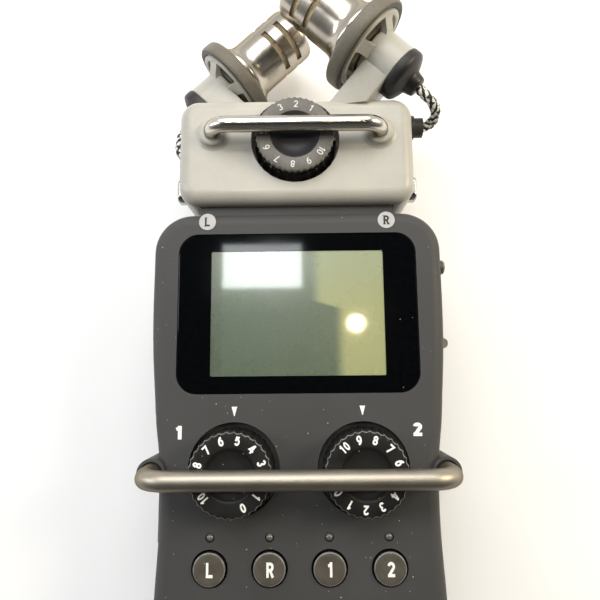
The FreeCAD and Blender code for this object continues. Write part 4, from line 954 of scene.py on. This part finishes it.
def wmap(v, a0, a1, b0, b1):
    n = wt.nodes.new("ShaderNodeMapRange")
    n.interpolation_type = "SMOOTHSTEP"
    wt.links.new(v, n.inputs["Value"])
    for k, x in zip(("From Min", "From Max", "To Min", "To Max"), (a0, a1, b0, b1)):
        n.inputs[k].default_value = x
    return n.outputs["Result"]


# a room that is bright round the far side and dim overhead and behind the viewer
up_ = wmap(sp.outputs[2], 0.55, 0.93, 1.0, 0.08)
side_ = wmap(sp.outputs[1], -0.65, 0.45, 0.12, 1.0)
mu = wt.nodes.new("ShaderNodeMath")
mu.operation = "MULTIPLY"
wt.links.new(up_, mu.inputs[0])
wt.links.new(side_, mu.inputs[1])
m2 = wt.nodes.new("ShaderNodeMath")
m2.operation = "MULTIPLY"
wt.links.new(mu.outputs[0], m2.inputs[0])
m2.inputs[1].default_value = 0.80
wt.links.new(m2.outputs[0], bg.inputs[1])
bg.inputs[0].default_value = (1.0, 0.99, 0.97, 1)


def area(name, loc, target, size, power, col=(1, 1, 1), sy=None, shape="RECTANGLE"):
    li = bpy.data.lights.new(name, "AREA")
    li.energy = power
    li.color = col
    li.shape = shape
    li.size = size
    if shape == "RECTANGLE":
        li.size_y = sy or size
    o = bpy.data.objects.new(name, li)
    bpy.context.collection.objects.link(o)
    o.location = loc
    d = Vector(target) - Vector(loc)
    o.rotation_euler = d.to_track_quat("-Z", "Y").to_euler()
    return o


area("softbox", (-0.06, 0.40, 0.54), (0, 0.02, 0), 0.60, 3.1, (1.0, 0.99, 0.97), sy=0.34)
area("side_left", (-0.50, 0.10, 0.34), (0, 0.02, 0), 0.12, 1.1, (0.95, 0.98, 1.0), sy=0.40)
area("side_right", (0.46, 0.16, 0.36), (0, 0.04, 0), 0.14, 1.9, (1.0, 0.86, 0.60), sy=0.26)
area("ceiling_panel", (-0.051, 0.135, 0.58), (-0.051, 0.135, 0), 0.096, 0.30, (0.94, 0.99, 1.0), sy=0.054)
area("warm_lamp", (0.0634, 0.066, 0.60), (0.0634, 0.066, 0), 0.020, 0.10, (1.0, 0.84, 0.50), shape="DISK")

# ------------------------------------------------------------------- camera
cam = bpy.data.cameras.new("camera")
co = bpy.data.objects.new("camera", cam)
bpy.context.collection.objects.link(co)
R = ((0.99988801, 0.0108662, 0.0102901), (-0.00913473, 0.98779689, -0.15547944), (-0.011854, 0.15536803, 0.98778553))
m = Matrix([[R[i][0], R[i][1], R[i][2], 0] for i in range(3)] + [[0, 0, 0, 1]])
m.translation = Vector((1.846, 5.737, 150.855)) * MM
co.matrix_world = m
cam.sensor_width = 36.0
cam.lens = 33.6
cam.shift_y = -0.025
cam.clip_start = 0.005
cam.clip_end = 10
bpy.context.scene.camera = co
bpy.context.scene.view_settings.view_transform = "Standard"
